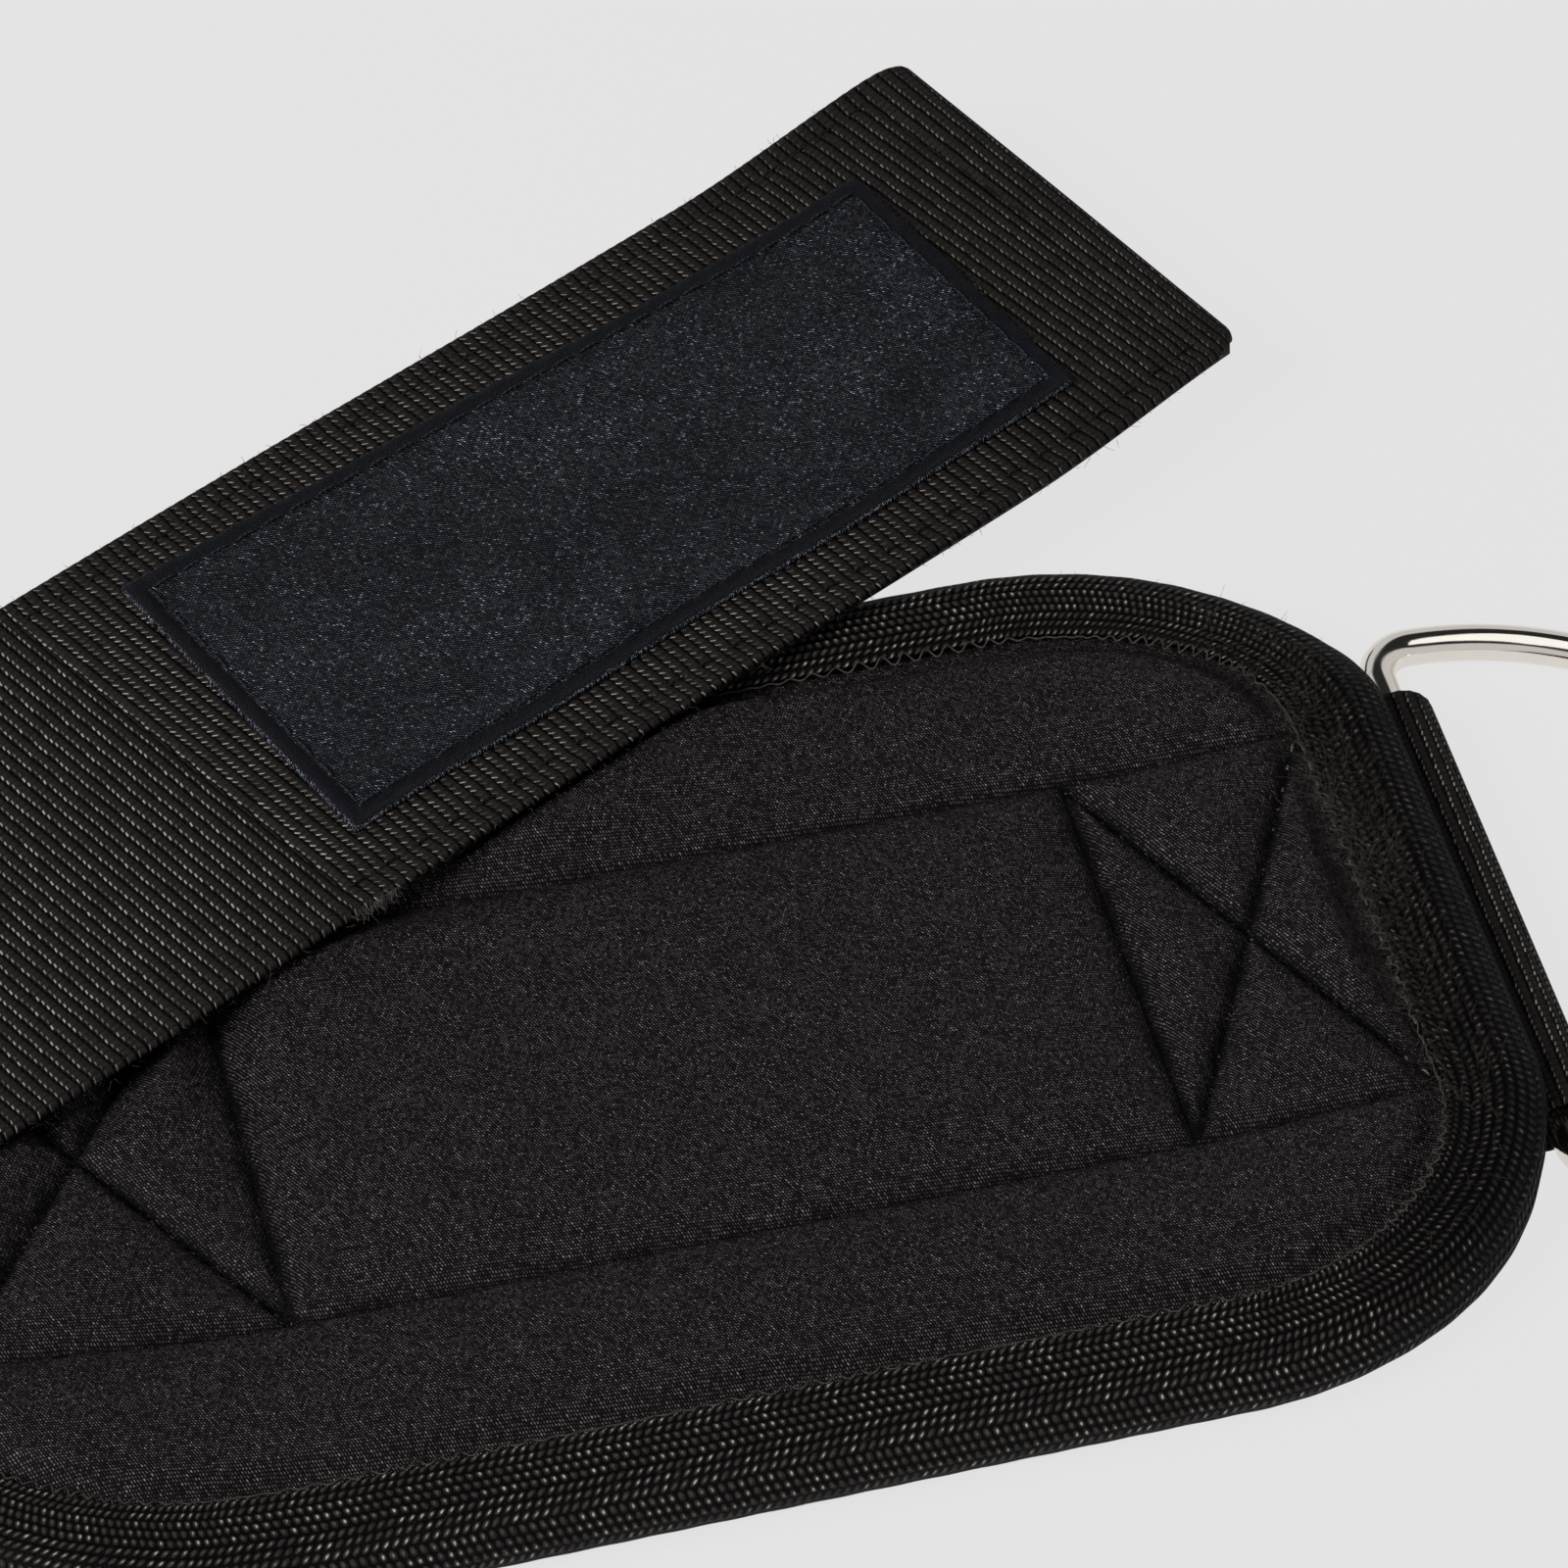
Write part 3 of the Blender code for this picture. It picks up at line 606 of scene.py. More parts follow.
def rim_depth(x, y):
    """How far a point lies inside the outline of straight sides and quarter ellipses."""
    dx, dy = corner_parts(x, y)
    depth = np.minimum(corner_along - dx, corner_across - dy)
    px, py = np.maximum(dx, 0.0), np.maximum(dy, 0.0)
    share = np.hypot(px / corner_along, py / corner_across)
    radial = np.hypot(px, py) * (1.0 - share) / np.maximum(share, 1e-6)
    return np.where((dx > 0.0) & (dy > 0.0), np.minimum(depth, radial), depth)


def half_width_at(x, inset):
    """Half width of the drawn-in outline at a place along the pad."""
    dx = np.maximum(np.abs(x - pad_middle) - (pad_half_length - corner_along), 0.0)
    share = np.clip(dx / (corner_along - inset), 0.0, 1.0)
    return pad_half_width - corner_across + (corner_across - inset) * np.sqrt(1.0 - share ** 2)


def over_webbing(y):
    """1 above the sewn strap, falling smoothly to 0 beside it."""
    return 1.0 - smooth((np.abs(y) - strap_width / 2 - webbing_margin) / side_fall)


def foot(x, y):
    """Underside of the pad and binding: on the strap, on its folded layer and on its fold."""
    single = strap_wall + piece_gap
    doubled = np.interp(x, fold_face[:, 0], fold_face[:, 1])
    height = single + (doubled - single) * smooth((x - folded_end + fold_step_before) / fold_step_run)
    return side_foot + (height - side_foot) * over_webbing(y) + curl(x, y)


def rim_foam(x, y):
    """Thickness of the foam in the binding, thinner above the sewn strap."""
    dx, _ = corner_parts(x, y)
    at_end = smooth((dx + rim_ease_before) / rim_ease_run) * over_webbing(y)
    return rim_foam_side + (rim_foam_on_strap - rim_foam_side) * at_end


def seam_lines():
    """The two long seams, then the four strokes of each crossed box."""
    right = pad_right - binding_width
    left = left_box_end - left_box_length
    lines = [(left, side * seam_half, right, side * seam_half) for side in (-1, 1)]
    for start, end in ((right_box_start, right), (left, left_box_end)):
        lines.append((start, -seam_half, end, seam_half))
        lines.append((start, seam_half, end, -seam_half))
        lines.append((start, -seam_half, start, seam_half))
        lines.append((end, -seam_half, end, seam_half))
    return lines


def seam_parts(x, y, line):
    """Distance of points from a seam, and the length along it of the nearest place."""
    x0, y0, x1, y1 = line
    length = math.hypot(x1 - x0, y1 - y0)
    along = np.clip(((x - x0) * (x1 - x0) + (y - y0) * (y1 - y0)) / length, 0.0, length)
    share = along / length
    return np.hypot(x - x0 - share * (x1 - x0), y - y0 - share * (y1 - y0)), along


def strap_underside(x, y):
    """Lowest face of the strap and its patch above a point, whether they cover it, and the place across."""
    start = turned_strap(np.array(bend_arc), np.array(0.0))
    dx, dy = x - start[0], y - start[1]
    along = dx * math.cos(strap_heading) + dy * math.sin(strap_heading)
    across = -dx * math.sin(strap_heading) + dy * math.cos(strap_heading)
    across = across + along ** 2 / (2 * strap_bow_radius)
    patch_start = over_run - patch_end_margin - patch_length - patch_step_before
    patch = smooth((along - patch_start) / patch_step_run)
    patch = patch * (1.0 - smooth((np.abs(across) - patch_width / 2 - patch_edge_gap) / patch_edge_ease))
    face = over_rise(along) - strap_wall / 2 - (patch_wall + piece_gap) * patch
    covered = (np.abs(across) < strap_width / 2 + press_reach) & (along > -press_before_bend)
    return face, covered, across


def slow_swell(x, y, seed, size):
    """Sum of five slow plane waves with fixed random headings, from about -1 to 1."""
    chance = np.random.default_rng(seed)
    total = np.zeros_like(x)
    for heading, phase, stretch in chance.uniform(0.0, 1.0, (5, 3)):
        angle = 2 * math.pi * heading
        run = (x * math.cos(angle) + y * math.sin(angle)) / (size * (0.7 + 0.8 * stretch))
        total = total + np.sin(2 * math.pi * (run + phase))
    return total / 3.0


def pad_top(x, y):
    """Quilted top: each panel rises away from its seams, with a crease and gathers at each seam."""
    depth = rim_depth(x, y)
    nearest = np.maximum(depth - binding_width + binding_step_set, 0.0)
    crease = np.zeros_like(x)
    gathers = np.zeros_like(x)
    for place, line in enumerate(seam_lines()):
        distance, along = seam_parts(x, y, line)
        nearest = np.minimum(nearest, distance)
        is_long = place < 2
        crease = np.maximum(crease, (long_seam_crease if is_long else 1.0) * np.exp(-distance / groove_width))
        phase = along / gather_pitch + gather_drift * np.sin(along / gather_drift_run + place)
        beat = np.sin(2 * math.pi * phase) * (0.6 + 0.4 * np.sin(along / gather_beat_run + 2 * place))
        gathers = gathers + beat * np.exp(-distance / gather_reach) * (long_seam_gathers if is_long else 1.0)
    puff = panel_puff * (1.0 - np.exp(-nearest / puff_reach))
    raised = right_raise * smooth((x - folded_end) / raise_run) * over_webbing(y)
    swell = swell_height * slow_swell(x, y, swell_seed, swell_size) * smooth(nearest / swell_ease)
    inside = seam_floor + puff + curl(x, y) + raised + swell
    inside = inside - groove_depth * crease + gather_height * gathers
    tucked = foot(x, y) + binding_wall + binding_play + rim_foam(x, y)
    blend = smooth((depth - binding_width - binding_step_set) / binding_step)
    top = tucked + (inside - tucked) * blend
    face, covered, across = strap_underside(x, y)
    beside = (across + strap_width / 2 + edge_bulge_set) / edge_bulge_reach
    top = top + edge_bulge * np.exp(-beside ** 2) * smooth((nearest - edge_bulge_start) / edge_bulge_ease)
    return np.where(covered, np.minimum(top, face - press_gap), top)


def sewn_shadow(x, y):
    """Share of painted shadow in the slit that each seam draws into the foam: 1 in the slit, falling to 0
    beside it.
    """
    shadow = np.zeros_like(x)
    for place, line in enumerate(seam_lines()):
        distance, along = seam_parts(x, y, line)
        width, depth = (long_slit, long_slit_depth) if place < 2 else (box_slit, 1.0)
        width = width * (1.0 + slit_wander * np.sin(along / slit_wander_run + 3 * place))
        shadow = np.maximum(shadow, depth * np.exp(-(distance / width) ** 2))
    return shadow


def pad_bottom(x, y):
    """Plain underside, stepped up over the binding's lower lip."""
    depth = rim_depth(x, y)
    beside = 1.0 - smooth((depth - binding_width - binding_step_set) / binding_step)
    return foot(x, y) + (binding_wall + binding_play) * beside


def quilted_pad():
    """Top and bottom grids of the pad, joined round the rim by one middle row."""
    left, right = pad_left + pad_tuck, pad_right - pad_tuck
    ease = np.linspace(-1.0, 1.0, pad_columns)
    x = (left + right) / 2 + (right - left) / 2 * (0.93 * ease + 0.07 * np.sin(ease * math.pi / 2))
    share = np.linspace(-1.0, 1.0, pad_rows)
    grid_x = np.repeat(x[:, None], pad_rows, axis=1)
    grid_y = half_width_at(grid_x, pad_tuck) * (0.9 * share + 0.1 * np.sin(share * math.pi / 2))[None, :]
    top = np.stack([grid_x, grid_y, pad_top(grid_x, grid_y)], axis=-1)
    bottom = np.stack([grid_x, grid_y, pad_bottom(grid_x, grid_y)], axis=-1)
    count = pad_columns * pad_rows
    i, j = np.meshgrid(np.arange(pad_columns - 1), np.arange(pad_rows - 1), indexing="ij")
    a = (i * pad_rows + j).ravel()
    upper = np.stack([a, a + pad_rows, a + pad_rows + 1, a + 1], axis=1)
    cell = np.arange(count).reshape(pad_columns, pad_rows)
    edge = np.concatenate([cell[:, 0], cell[-1, 1:], cell[-2::-1, -1], cell[0, -2:0:-1]])
    flat = top.reshape(-1, 3)
    dx, dy = corner_parts(flat[edge, 0], flat[edge, 1])
    fx = (corner_along - pad_tuck_middle) / (corner_along - pad_tuck)
    fy = (corner_across - pad_tuck_middle) / (corner_across - pad_tuck)
    rim_x = flat[edge, 0] + np.sign(flat[edge, 0] - pad_middle) * np.maximum(dx, 0.0) * (fx - 1.0)
    rim_y = flat[edge, 1] + np.sign(flat[edge, 1]) * np.maximum(dy, 0.0) * (fy - 1.0)
    rim_z = (flat[edge, 2] + bottom.reshape(-1, 3)[edge, 2]) / 2
    rim = 2 * count + np.arange(len(edge))
    after = np.roll(np.arange(len(edge)), -1)
    above = np.stack([edge, rim, rim[after], edge[after]], axis=1)
    below = np.stack([rim, edge + count, edge[after] + count, rim[after]], axis=1)
    quads = np.concatenate([upper, upper[:, ::-1] + count, above, below])
    points = np.concatenate([flat, bottom.reshape(-1, 3), np.stack([rim_x, rim_y, rim_z], axis=1)])
    piece = mesh_of("quilted_pad", points, quads, points[quads][..., :2] * 1000.0)
    # the groove attribute holds the painted shadow in the seam slits
    groove = np.zeros(len(points), dtype=np.float32)
    groove[:count] = sewn_shadow(grid_x, grid_y).ravel()
    piece.data.attributes.new("groove", "FLOAT", "POINT").data.foreach_set("value", groove)
    return piece


wale_pitch = 0.27
course_pitch = 0.26
knit_dark = (0.0013, 0.0010, 0.0011)
knit_light = (0.0028, 0.0022, 0.0024)
# knit_glint: colour of the painted glints on the knit loops
knit_glint = (0.185, 0.152, 0.155)
# slit_shade_black: painted shadow in the seam slits
slit_shade_black = (0.0006, 0.0005, 0.0005)
loop_share = (0.38, 0.12)
loop_row_share = (0.50, 0.22)
rare_chance = 0.95
knit_depth = 0.00012


def knit_material():
    """Fine black knit: slanted rows of tiny loops with painted glints of random strength, and painted shadow
    in the seam slits.
    """
    cloth = Cloth("pad_knit", roughness=0.65, specular=0.05)
    bend = (cloth.cloud(6.0, 1.0) - 0.5) * 0.9 + (cloth.cloud(0.9, 1.0) - 0.5) * 0.35
    wale = (cloth.across + bend * 0.3) / wale_pitch
    course = (cloth.along + cloth.across * 0.06 + bend * 0.3) / course_pitch
    shifted = wale + course.floor() * 0.5
    loop = shifted.centred()
    row = course.centred()
    chance = cloth.chance(shifted.floor(), course.floor())
    grain = cloth.cloud(0.13, 2.0)
    stroke = (loop + row * 0.5).size().between(*loop_share) * row.size().between(*loop_row_share)
    # painted glints on the loops, of random strength, and a few brighter painted sparkles
    glint = stroke * (chance * 0.48 + 0.14) * (grain * 2.0 - 0.12)
    rare_glint = chance.between(rare_chance, 1.0) * stroke * 0.45
    base = cloth.colours(cloth.cloud(11.0, 3.0), knit_dark, knit_light)
    lit = cloth.colours((glint + rare_glint).between(0.0, 1.0), base, knit_glint)
    # the groove attribute paints the seam slits near black as shadow
    colour = cloth.colours(cloth.value("groove"), lit, slit_shade_black)
    return cloth.finish(colour, stroke * 0.8 + grain * 0.3, knit_depth)


pad = quilted_pad()
pad.data.materials.append(knit_material())
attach(pad, "cuff")
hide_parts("pad")


# The binding: woven tape folded round the pad's raw edge and sewn through. Its
# rows of thread run along the edge as ridges, and it rolls over to the underside.

binding_bend = 0.0024
tape_row = 0.00096
tape_row_height = 0.00016
tape_crown = 0.00035
tape_drop = 0.0005
tape_grain = 0.84
pucker_pitch = 0.0046
pucker_height = 0.00002
outline_steps = 60
lower_columns = 9
turn_columns = 19
upper_columns = 34
inner_columns = 5
inner_ease = 0.0002
tape_undercut = 0.0010
outline_stations = 940


def outline(inset):
    """Closed outline, anticlockwise: straight sides joined by quarter ellipses."""
    ax = pad_half_length - corner_along
    ay = pad_half_width - corner_across
    quarter = np.linspace(0.0, math.pi / 2, outline_steps)
    ex = ax + (corner_along - inset) * np.cos(quarter)
    ey = ay + (corner_across - inset) * np.sin(quarter)
    first_x = np.concatenate([[ex[0]], ex, [0.0]])
    first_y = np.concatenate([[0.0], ey, [ey[-1]]])
    upper_x = np.concatenate([first_x, -first_x[-2::-1]])
    upper_y = np.concatenate([first_y, first_y[-2::-1]])
    x = np.concatenate([upper_x, upper_x[-2::-1]])
    y = np.concatenate([upper_y, -upper_y[-2::-1]])
    return pad_middle + x, y


def even_shares(count):
    """Places round the outer outline at even lengths, as shares of its points' numbering."""
    x, y = outline(0.0)
    run = np.concatenate([[0.0], np.cumsum(np.hypot(np.diff(x), np.diff(y)))])
    wanted = np.linspace(0.0, run[-1], count + 1)
    return np.interp(wanted, run, np.arange(len(run))), wanted


def outline_at(inset, places):
    """Points of an inset outline at those places."""
    x, y = outline(inset)
    numbers = np.arange(len(x))
    return np.interp(places, numbers, x), np.interp(places, numbers, y)


def binding_profile():
    """Depth, share of the height, added height and tape length of the C section, outside then inside."""
    lower = np.linspace(binding_width, binding_bend + tape_undercut, lower_columns)
    turn = np.linspace(-math.pi / 2, math.pi / 2, turn_columns)[1:-1]
    upper = np.linspace(binding_bend, binding_width, upper_columns)
    crown = np.sin(np.linspace(0.0, math.pi, upper_columns)) ** 0.8
    fall = smooth((np.linspace(0.0, 1.0, upper_columns) - 0.9) / 0.1)
    outer = [(d, 0.0, 0.0) for d in lower]
    outer += [(binding_bend * (1.0 - math.cos(a)) + tape_undercut * min(math.sin(a), 0.0) ** 2,
               0.5 + 0.5 * math.sin(a), 0.0) for a in turn]
    outer += [(d, 1.0, tape_crown * c - tape_drop * f) for d, c, f in zip(upper, crown, fall)]
    inset = binding_bend - binding_wall
    inner = [(binding_width, 1.0, -binding_wall), (binding_bend + inner_ease, 1.0, -binding_wall)]
    inner += [(binding_wall + inset * (1.0 - math.cos(a)), 0.5 + 0.3 * math.sin(a), 0.0)
              for a in np.linspace(math.pi / 2, -math.pi / 2, inner_columns)[1:-1]]
    inner += [(binding_bend + inner_ease, 0.0, binding_wall), (binding_width, 0.0, binding_wall)]
    return np.array(outer), np.array(inner)


def woven_binding():
    """The C section carried round the outline, with its rows of thread raised as ridges."""
    places, run = even_shares(outline_stations)
    outer, inner = binding_profile()
    rings = []
    for depth, share, added in np.concatenate([outer, inner]):
        x, y = outline_at(depth, places[:-1])
        low = foot(x, y)
        base_x, base_y = outline_at(max(depth, pad_tuck), places[:-1])
        top = foot(base_x, base_y) + 2 * (binding_wall + binding_play) + rim_foam(base_x, base_y)
        rings.append(np.stack([x, y, low + share * (top - low) + added], axis=-1))
    sections = np.stack(rings, axis=1)
    steps = np.linalg.norm(np.diff(sections, axis=1), axis=-1).mean(axis=0)
    tape = np.concatenate([[0.0], np.cumsum(steps)])
    tape = tape[len(outer) - 1] - tape
    closed = np.concatenate([sections[-1:], sections, sections[:1]])
    normal = square_to(closed)[1:-1]
    ridge = (0.5 + 0.5 * np.cos(2 * math.pi * tape / tape_row)) - 1.0
    ridge = np.where(np.arange(len(tape)) < len(outer), ridge, 0.0)
    pucker = np.sin(2 * math.pi * run[:-1] / pucker_pitch) * pucker_height
    lift = tape_row_height * ridge[None, :] + pucker[:, None] * (ridge[None, :] != 0.0)
    sections = sections + lift[..., None] * normal
    weave = np.stack(np.meshgrid(run, tape, indexing="ij"), axis=-1) * 1000.0
    return carried("edge_binding", sections, weave[..., ::-1], closed=True)


# tape_gap_shade: painted shade in the black gaps between the beads
tape_gap_shade = (0.0006, 0.0005, 0.0005)
tape_grey = (0.0340, 0.0285, 0.0265)
# tape_glint: colour of the painted highlight at each bead's core
tape_glint = (0.310, 0.275, 0.245)
lean_rows = 3.0
# painted shade on the tape's right end: the place farthest from it, its reach and its depth
end_shade_far = 215.0
end_shade_reach = (165.0, 192.0)
end_shade_depth = -0.60
bead_share = (0.270, 0.060)
core_share = (0.085, 0.006)
tape_depth = 0.00032


def tape_material():
    """Black tape: plump beads of thread in brick rows, slanting one way and then the other, with painted
    black shade in the gaps.

    A bead is an ellipse in its cell with a small painted highlight at its core. Both are painted darker
    towards the right end, as shade.
    """
    cloth = Cloth("binding_tape", roughness=0.50, specular=0.045)
    drift = (cloth.cloud(5.0) - 0.5) * 0.5
    rows = cloth.across / (tape_row * 1000.0) + 0.5 + (cloth.cloud(9.0, 1.0) - 0.5) * 0.35
    row = rows.centred()
    number = rows.floor()
    band = (rows / lean_rows).floor()
    odd = (number * 0.5).centred().size() * 2.0
    lean = (band * 0.5).centred().size() * 2.0
    grains = cloth.along / tape_grain + odd * 0.5 + drift + row * (lean * 0.9 - 0.45)
    grain = grains.centred()
    chance = cloth.chance(number, grains.floor())
    fine = cloth.cloud(0.16, 3.0)
    bead = grain + row * 0.2
    body_shape = (bead * bead * 1.15 + row * row).between(*bead_share)
    slant = grain + row * 0.3
    core = (slant * slant * 1.8 + row * row).between(*core_share)
    # random patches where the painted glints are weaker
    worn = cloth.cloud(2.6, 3.0).between(0.66, 0.44) * 0.85 + 0.15
    # painted shade darkens the tape and its glints towards the right end
    end_shade = (cloth.along - end_shade_far).size().between(*end_shade_reach) * end_shade_depth + 1.0
    # painted highlight at each bead's core
    core_glint = core * (chance * 0.85 + 0.10) * (fine * 1.7 + 0.05) * worn * end_shade
    # beads lighter than the gaps between them, which are painted black as shade
    body = cloth.colours(body_shape * (fine * 0.8 + 0.2) * end_shade, tape_gap_shade, tape_grey)
    colour = cloth.colours(core_glint.between(0.0, 1.0), body, tape_glint)
    relief = body_shape * 0.9 + core * 0.5 + fine * 0.3
    return cloth.finish(colour, relief, tape_depth)


binding = woven_binding()
binding.data.materials.append(tape_material())
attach(binding, "cuff")
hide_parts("binding")


# Loose thread: the tape's inner edge frays into a curly row of loops, and its
# worn right end, the strap's cut yarns and its long edges stand out in fine hair.

curl_pitch = 0.0021
curl_reach = 0.00042
thread_radius = 0.00009
hair_radius = 0.00003
hair_rings = 5
hair_sides = 3
hair_thinning = 0.6
curl_stations = 2600
curl_sides = 5
curl_float = 0.00012
curl_clearance = 0.0002
lip_slack = 0.0003
curl_inset = 0.00035
lip_drop = 0.0005
probe = 0.001
hair_inset = 0.0006
lip_share = 0.9
top_fall = 0.0022
tape_edge_share = 0.22
worn_count = 3800
stray_count = 420


def edge_curls():
    """A thin thread along the tape's inner edge that swings in and out and up and down in uneven waves."""
    places, run = even_shares(curl_stations)
    run = run[:-1]
    phase = 2 * math.pi * run / curl_pitch + 1.3 * np.sin(run / 0.0071) + 0.8 * np.sin(run / 0.0029)
    swing = curl_reach * (0.6 + 0.5 * np.sin(run / 0.0053))
    near_x, near_y = outline_at(binding_width, places[:-1])
    far_x, far_y = outline_at(binding_width + probe, places[:-1])
    inward = (curl_inset + swing * np.sin(phase)) / probe
    x, y = near_x + (far_x - near_x) * inward, near_y + (far_y - near_y) * inward
    lip = foot(near_x, near_y) + 2 * (binding_wall + binding_play) + rim_foam(near_x, near_y) - lip_drop
    z = np.maximum(pad_top(x, y) + curl_float, lip - lip_slack)
    z = z + swing * 0.6 * (1.0 + np.cos(phase + 0.7))
    face, covered, _ = strap_underside(x, y)
    z = np.where(covered, np.minimum(z, face - curl_clearance), z)
    centre = np.stack([x, y, z], axis=1)
    ahead = np.roll(centre, -1, axis=0) - np.roll(centre, 1, axis=0)
    ahead = ahead / np.linalg.norm(ahead, axis=1, keepdims=True)
    side = np.cross(ahead, [0.0, 0.0, 1.0])
    side = side / np.linalg.norm(side, axis=1, keepdims=True)
    up = np.cross(side, ahead)
    angle = np.linspace(0.0, 2 * math.pi, curl_sides, endpoint=False)
    ring = np.cos(angle)[None, :, None] * side[:, None] + np.sin(angle)[None, :, None] * up[:, None]
    sections = centre[:, None] + thread_radius * ring
    closed_run = np.append(run, run[-1] + run[1])
    weave = np.stack(np.meshgrid(closed_run, angle * thread_radius, indexing="ij"), axis=-1)
    return carried("edge_curls", sections, weave[..., ::-1] * 1000.0, closed=True)


def hair(name, roots, ways, lengths, seed, radius=hair_radius, bent=0.55):
    """Bent hairs: each runs its own way, turns aside with the square of its length and thins out."""
    chance = np.random.default_rng(seed)
    count, rings, sides = len(roots), hair_rings, hair_sides
    t = np.linspace(0.0, 1.0, rings)
    aside = chance.normal(0.0, bent, (count, 3))
    bend = t[None, :, None] ** 2 * aside[:, None]
    curve = roots[:, None] + lengths[:, None, None] * (t[None, :, None] * ways[:, None] + bend)
    across = np.cross(ways + 0.3 * aside, [0.31, 0.52, 0.79])
    across = across / np.linalg.norm(across, axis=1, keepdims=True)
    second = np.cross(ways, across)
    angle = np.linspace(0.0, 2 * math.pi, sides, endpoint=False)
    ring = np.cos(angle)[None, :, None] * across[:, None] + np.sin(angle)[None, :, None] * second[:, None]
    thick = radius * (1.0 - hair_thinning * t)
    points = curve[:, :, None] + thick[None, :, None, None] * ring[:, None]
    grid = np.meshgrid(np.arange(count), np.arange(rings - 1), np.arange(sides), indexing="ij")
    k, i, j = (m.ravel() for m in grid)
    here = (k * rings + i) * sides
    after = (j + 1) % sides
    quads = np.stack([here + j, here + after, here + sides + after, here + sides + j], axis=1)
    first = np.arange(count)[:, None] * rings * sides + np.arange(sides)[None, :]
    caps = list(first[:, ::-1]) + list(first + (rings - 1) * sides)
    flat = points.reshape(-1, 3)
    weave = np.tile(np.stack([np.repeat(t, sides), np.tile(angle, rings)], axis=1), (count, 1))
    piece = mesh_of(name, flat, quads, weave[quads], caps, weave)
    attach(piece, "cuff")
    return piece


def thread_material(name, low, high):
    """Loose thread that goes from dark to light and back along its length."""
    cloth = Cloth(name, roughness=0.60, specular=0.08)
    fine = cloth.cloud(0.5, 2.0)
    return cloth.finish(cloth.colours(fine, low, high), fine, 0.00002)


def unit(vectors):
    """Vectors brought to a length of 1."""
    return vectors / np.linalg.norm(vectors, axis=1, keepdims=True)


def binding_roots(count, seed, centre, spread, band):
    """Random places on the tape's top, gathered about a place round its outline, and ways up from them."""
    chance = np.random.default_rng(seed)
    places, run = even_shares(outline_stations)
    where = np.mod(chance.normal(centre, spread, count), run[-1])
    number = np.interp(where, run, places)
    share = chance.uniform(band[0], band[1], count)
    near_x, near_y = outline_at(hair_inset, number)
    far_x, far_y = outline_at(binding_width, number)
    x, y = near_x + (far_x - near_x) * share, near_y + (far_y - near_y) * share
    top = foot(far_x, far_y) + 2 * (binding_wall + binding_play) + rim_foam(far_x, far_y)
    low = np.clip(share / tape_edge_share, 0.0, 1.0)
    z = top - top_fall * (1.0 - low) ** 2 - lip_slack * (share > lip_share)
    outward = np.stack([near_x - far_x, near_y - far_y], axis=1)
    outward = unit(outward) * (0.6 - share)[:, None]
    flat_way = outward + chance.normal(0.0, 0.7, (count, 2))
    ways = np.column_stack([flat_way, chance.uniform(0.02, 0.45, count)])
    face, covered, _ = strap_underside(x, y)
    clear = ~covered
    return np.stack([x, y, z], axis=1)[clear], unit(ways)[clear], chance


curls = edge_curls()
curls.data.materials.append(thread_material("curl_thread", low=(0.004, 0.0035, 0.0035),
                                            high=(0.060, 0.052, 0.046)))
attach(curls, "cuff")

roots, ways, chance = binding_roots(worn_count, seed=11, centre=0.004, spread=0.016, band=(0.35, 1.08))
worn_lengths = chance.uniform(0.0004, 0.0014, len(roots))
worn = hair("worn_end_hair", roots, ways, worn_lengths, seed=12, bent=0.95)
worn.data.materials.append(thread_material("worn_hair", low=(0.006, 0.005, 0.005),
                                           high=(0.075, 0.064, 0.056)))

roots, ways, chance = binding_roots(stray_count, seed=13, centre=0.2, spread=0.15, band=(0.0, 0.9))
stray_lengths = chance.uniform(0.0003, 0.0009, len(roots))
stray = hair("binding_hair", roots, ways, stray_lengths, seed=14)
stray.data.materials.append(thread_material("stray_hair", low=(0.010, 0.009, 0.008),
                                            high=(0.060, 0.052, 0.045)))


edge_count = 300
edge_start = 0.004
edge_margin = 0.005
tuft_count = 240
tuft_place = 0.0765
tuft_spread = 0.0013


def strap_hair():
    """Short hairs along both long edges of the strap over the pad, and a grey tuft where a yarn frayed."""
    chance = np.random.default_rng(15)
    edge_u = chance.uniform(edge_start, over_run - edge_margin, edge_count)
    tuft_u = chance.normal(tuft_place, tuft_spread, tuft_count)
    u = np.concatenate([edge_u, tuft_u])
    side = np.concatenate([chance.choice([-1.0, 1.0], edge_count), -np.ones(tuft_count)])
    v = side * (strap_width / 2 - 0.0001)
    root = on_strap(u, v, chance.uniform(-0.0006, 0.0006, len(u)))
    outward = on_strap(u, v * 1.01, np.zeros(len(u))) - on_strap(u, v, np.zeros(len(u)))
    ways = unit(unit(outward) + chance.normal(0.0, 0.6, (len(u), 3)))
    ways[:, 2] = np.maximum(ways[:, 2], -0.1)
    edge_lengths = chance.uniform(0.0002, 0.0007, edge_count)
    tuft_lengths = chance.uniform(0.0001, 0.0004, tuft_count)
    return (root[:edge_count], ways[:edge_count], edge_lengths,
            root[edge_count:], ways[edge_count:], tuft_lengths)


edge_root, edge_way, edge_length, tuft_root, tuft_way, tuft_length = strap_hair()
edge_hair = hair("strap_edge_hair", edge_root, edge_way, edge_length, seed=16)
edge_hair.data.materials.append(thread_material("edge_hair", low=(0.015, 0.013, 0.011),
                                                high=(0.10, 0.09, 0.08)))
tuft = hair("frayed_tuft", tuft_root, tuft_way, tuft_length, seed=17, radius=0.000026, bent=0.95)
tuft.data.materials.append(thread_material("tuft_hair", low=(0.035, 0.030, 0.028),
                                           high=(0.20, 0.172, 0.160)))


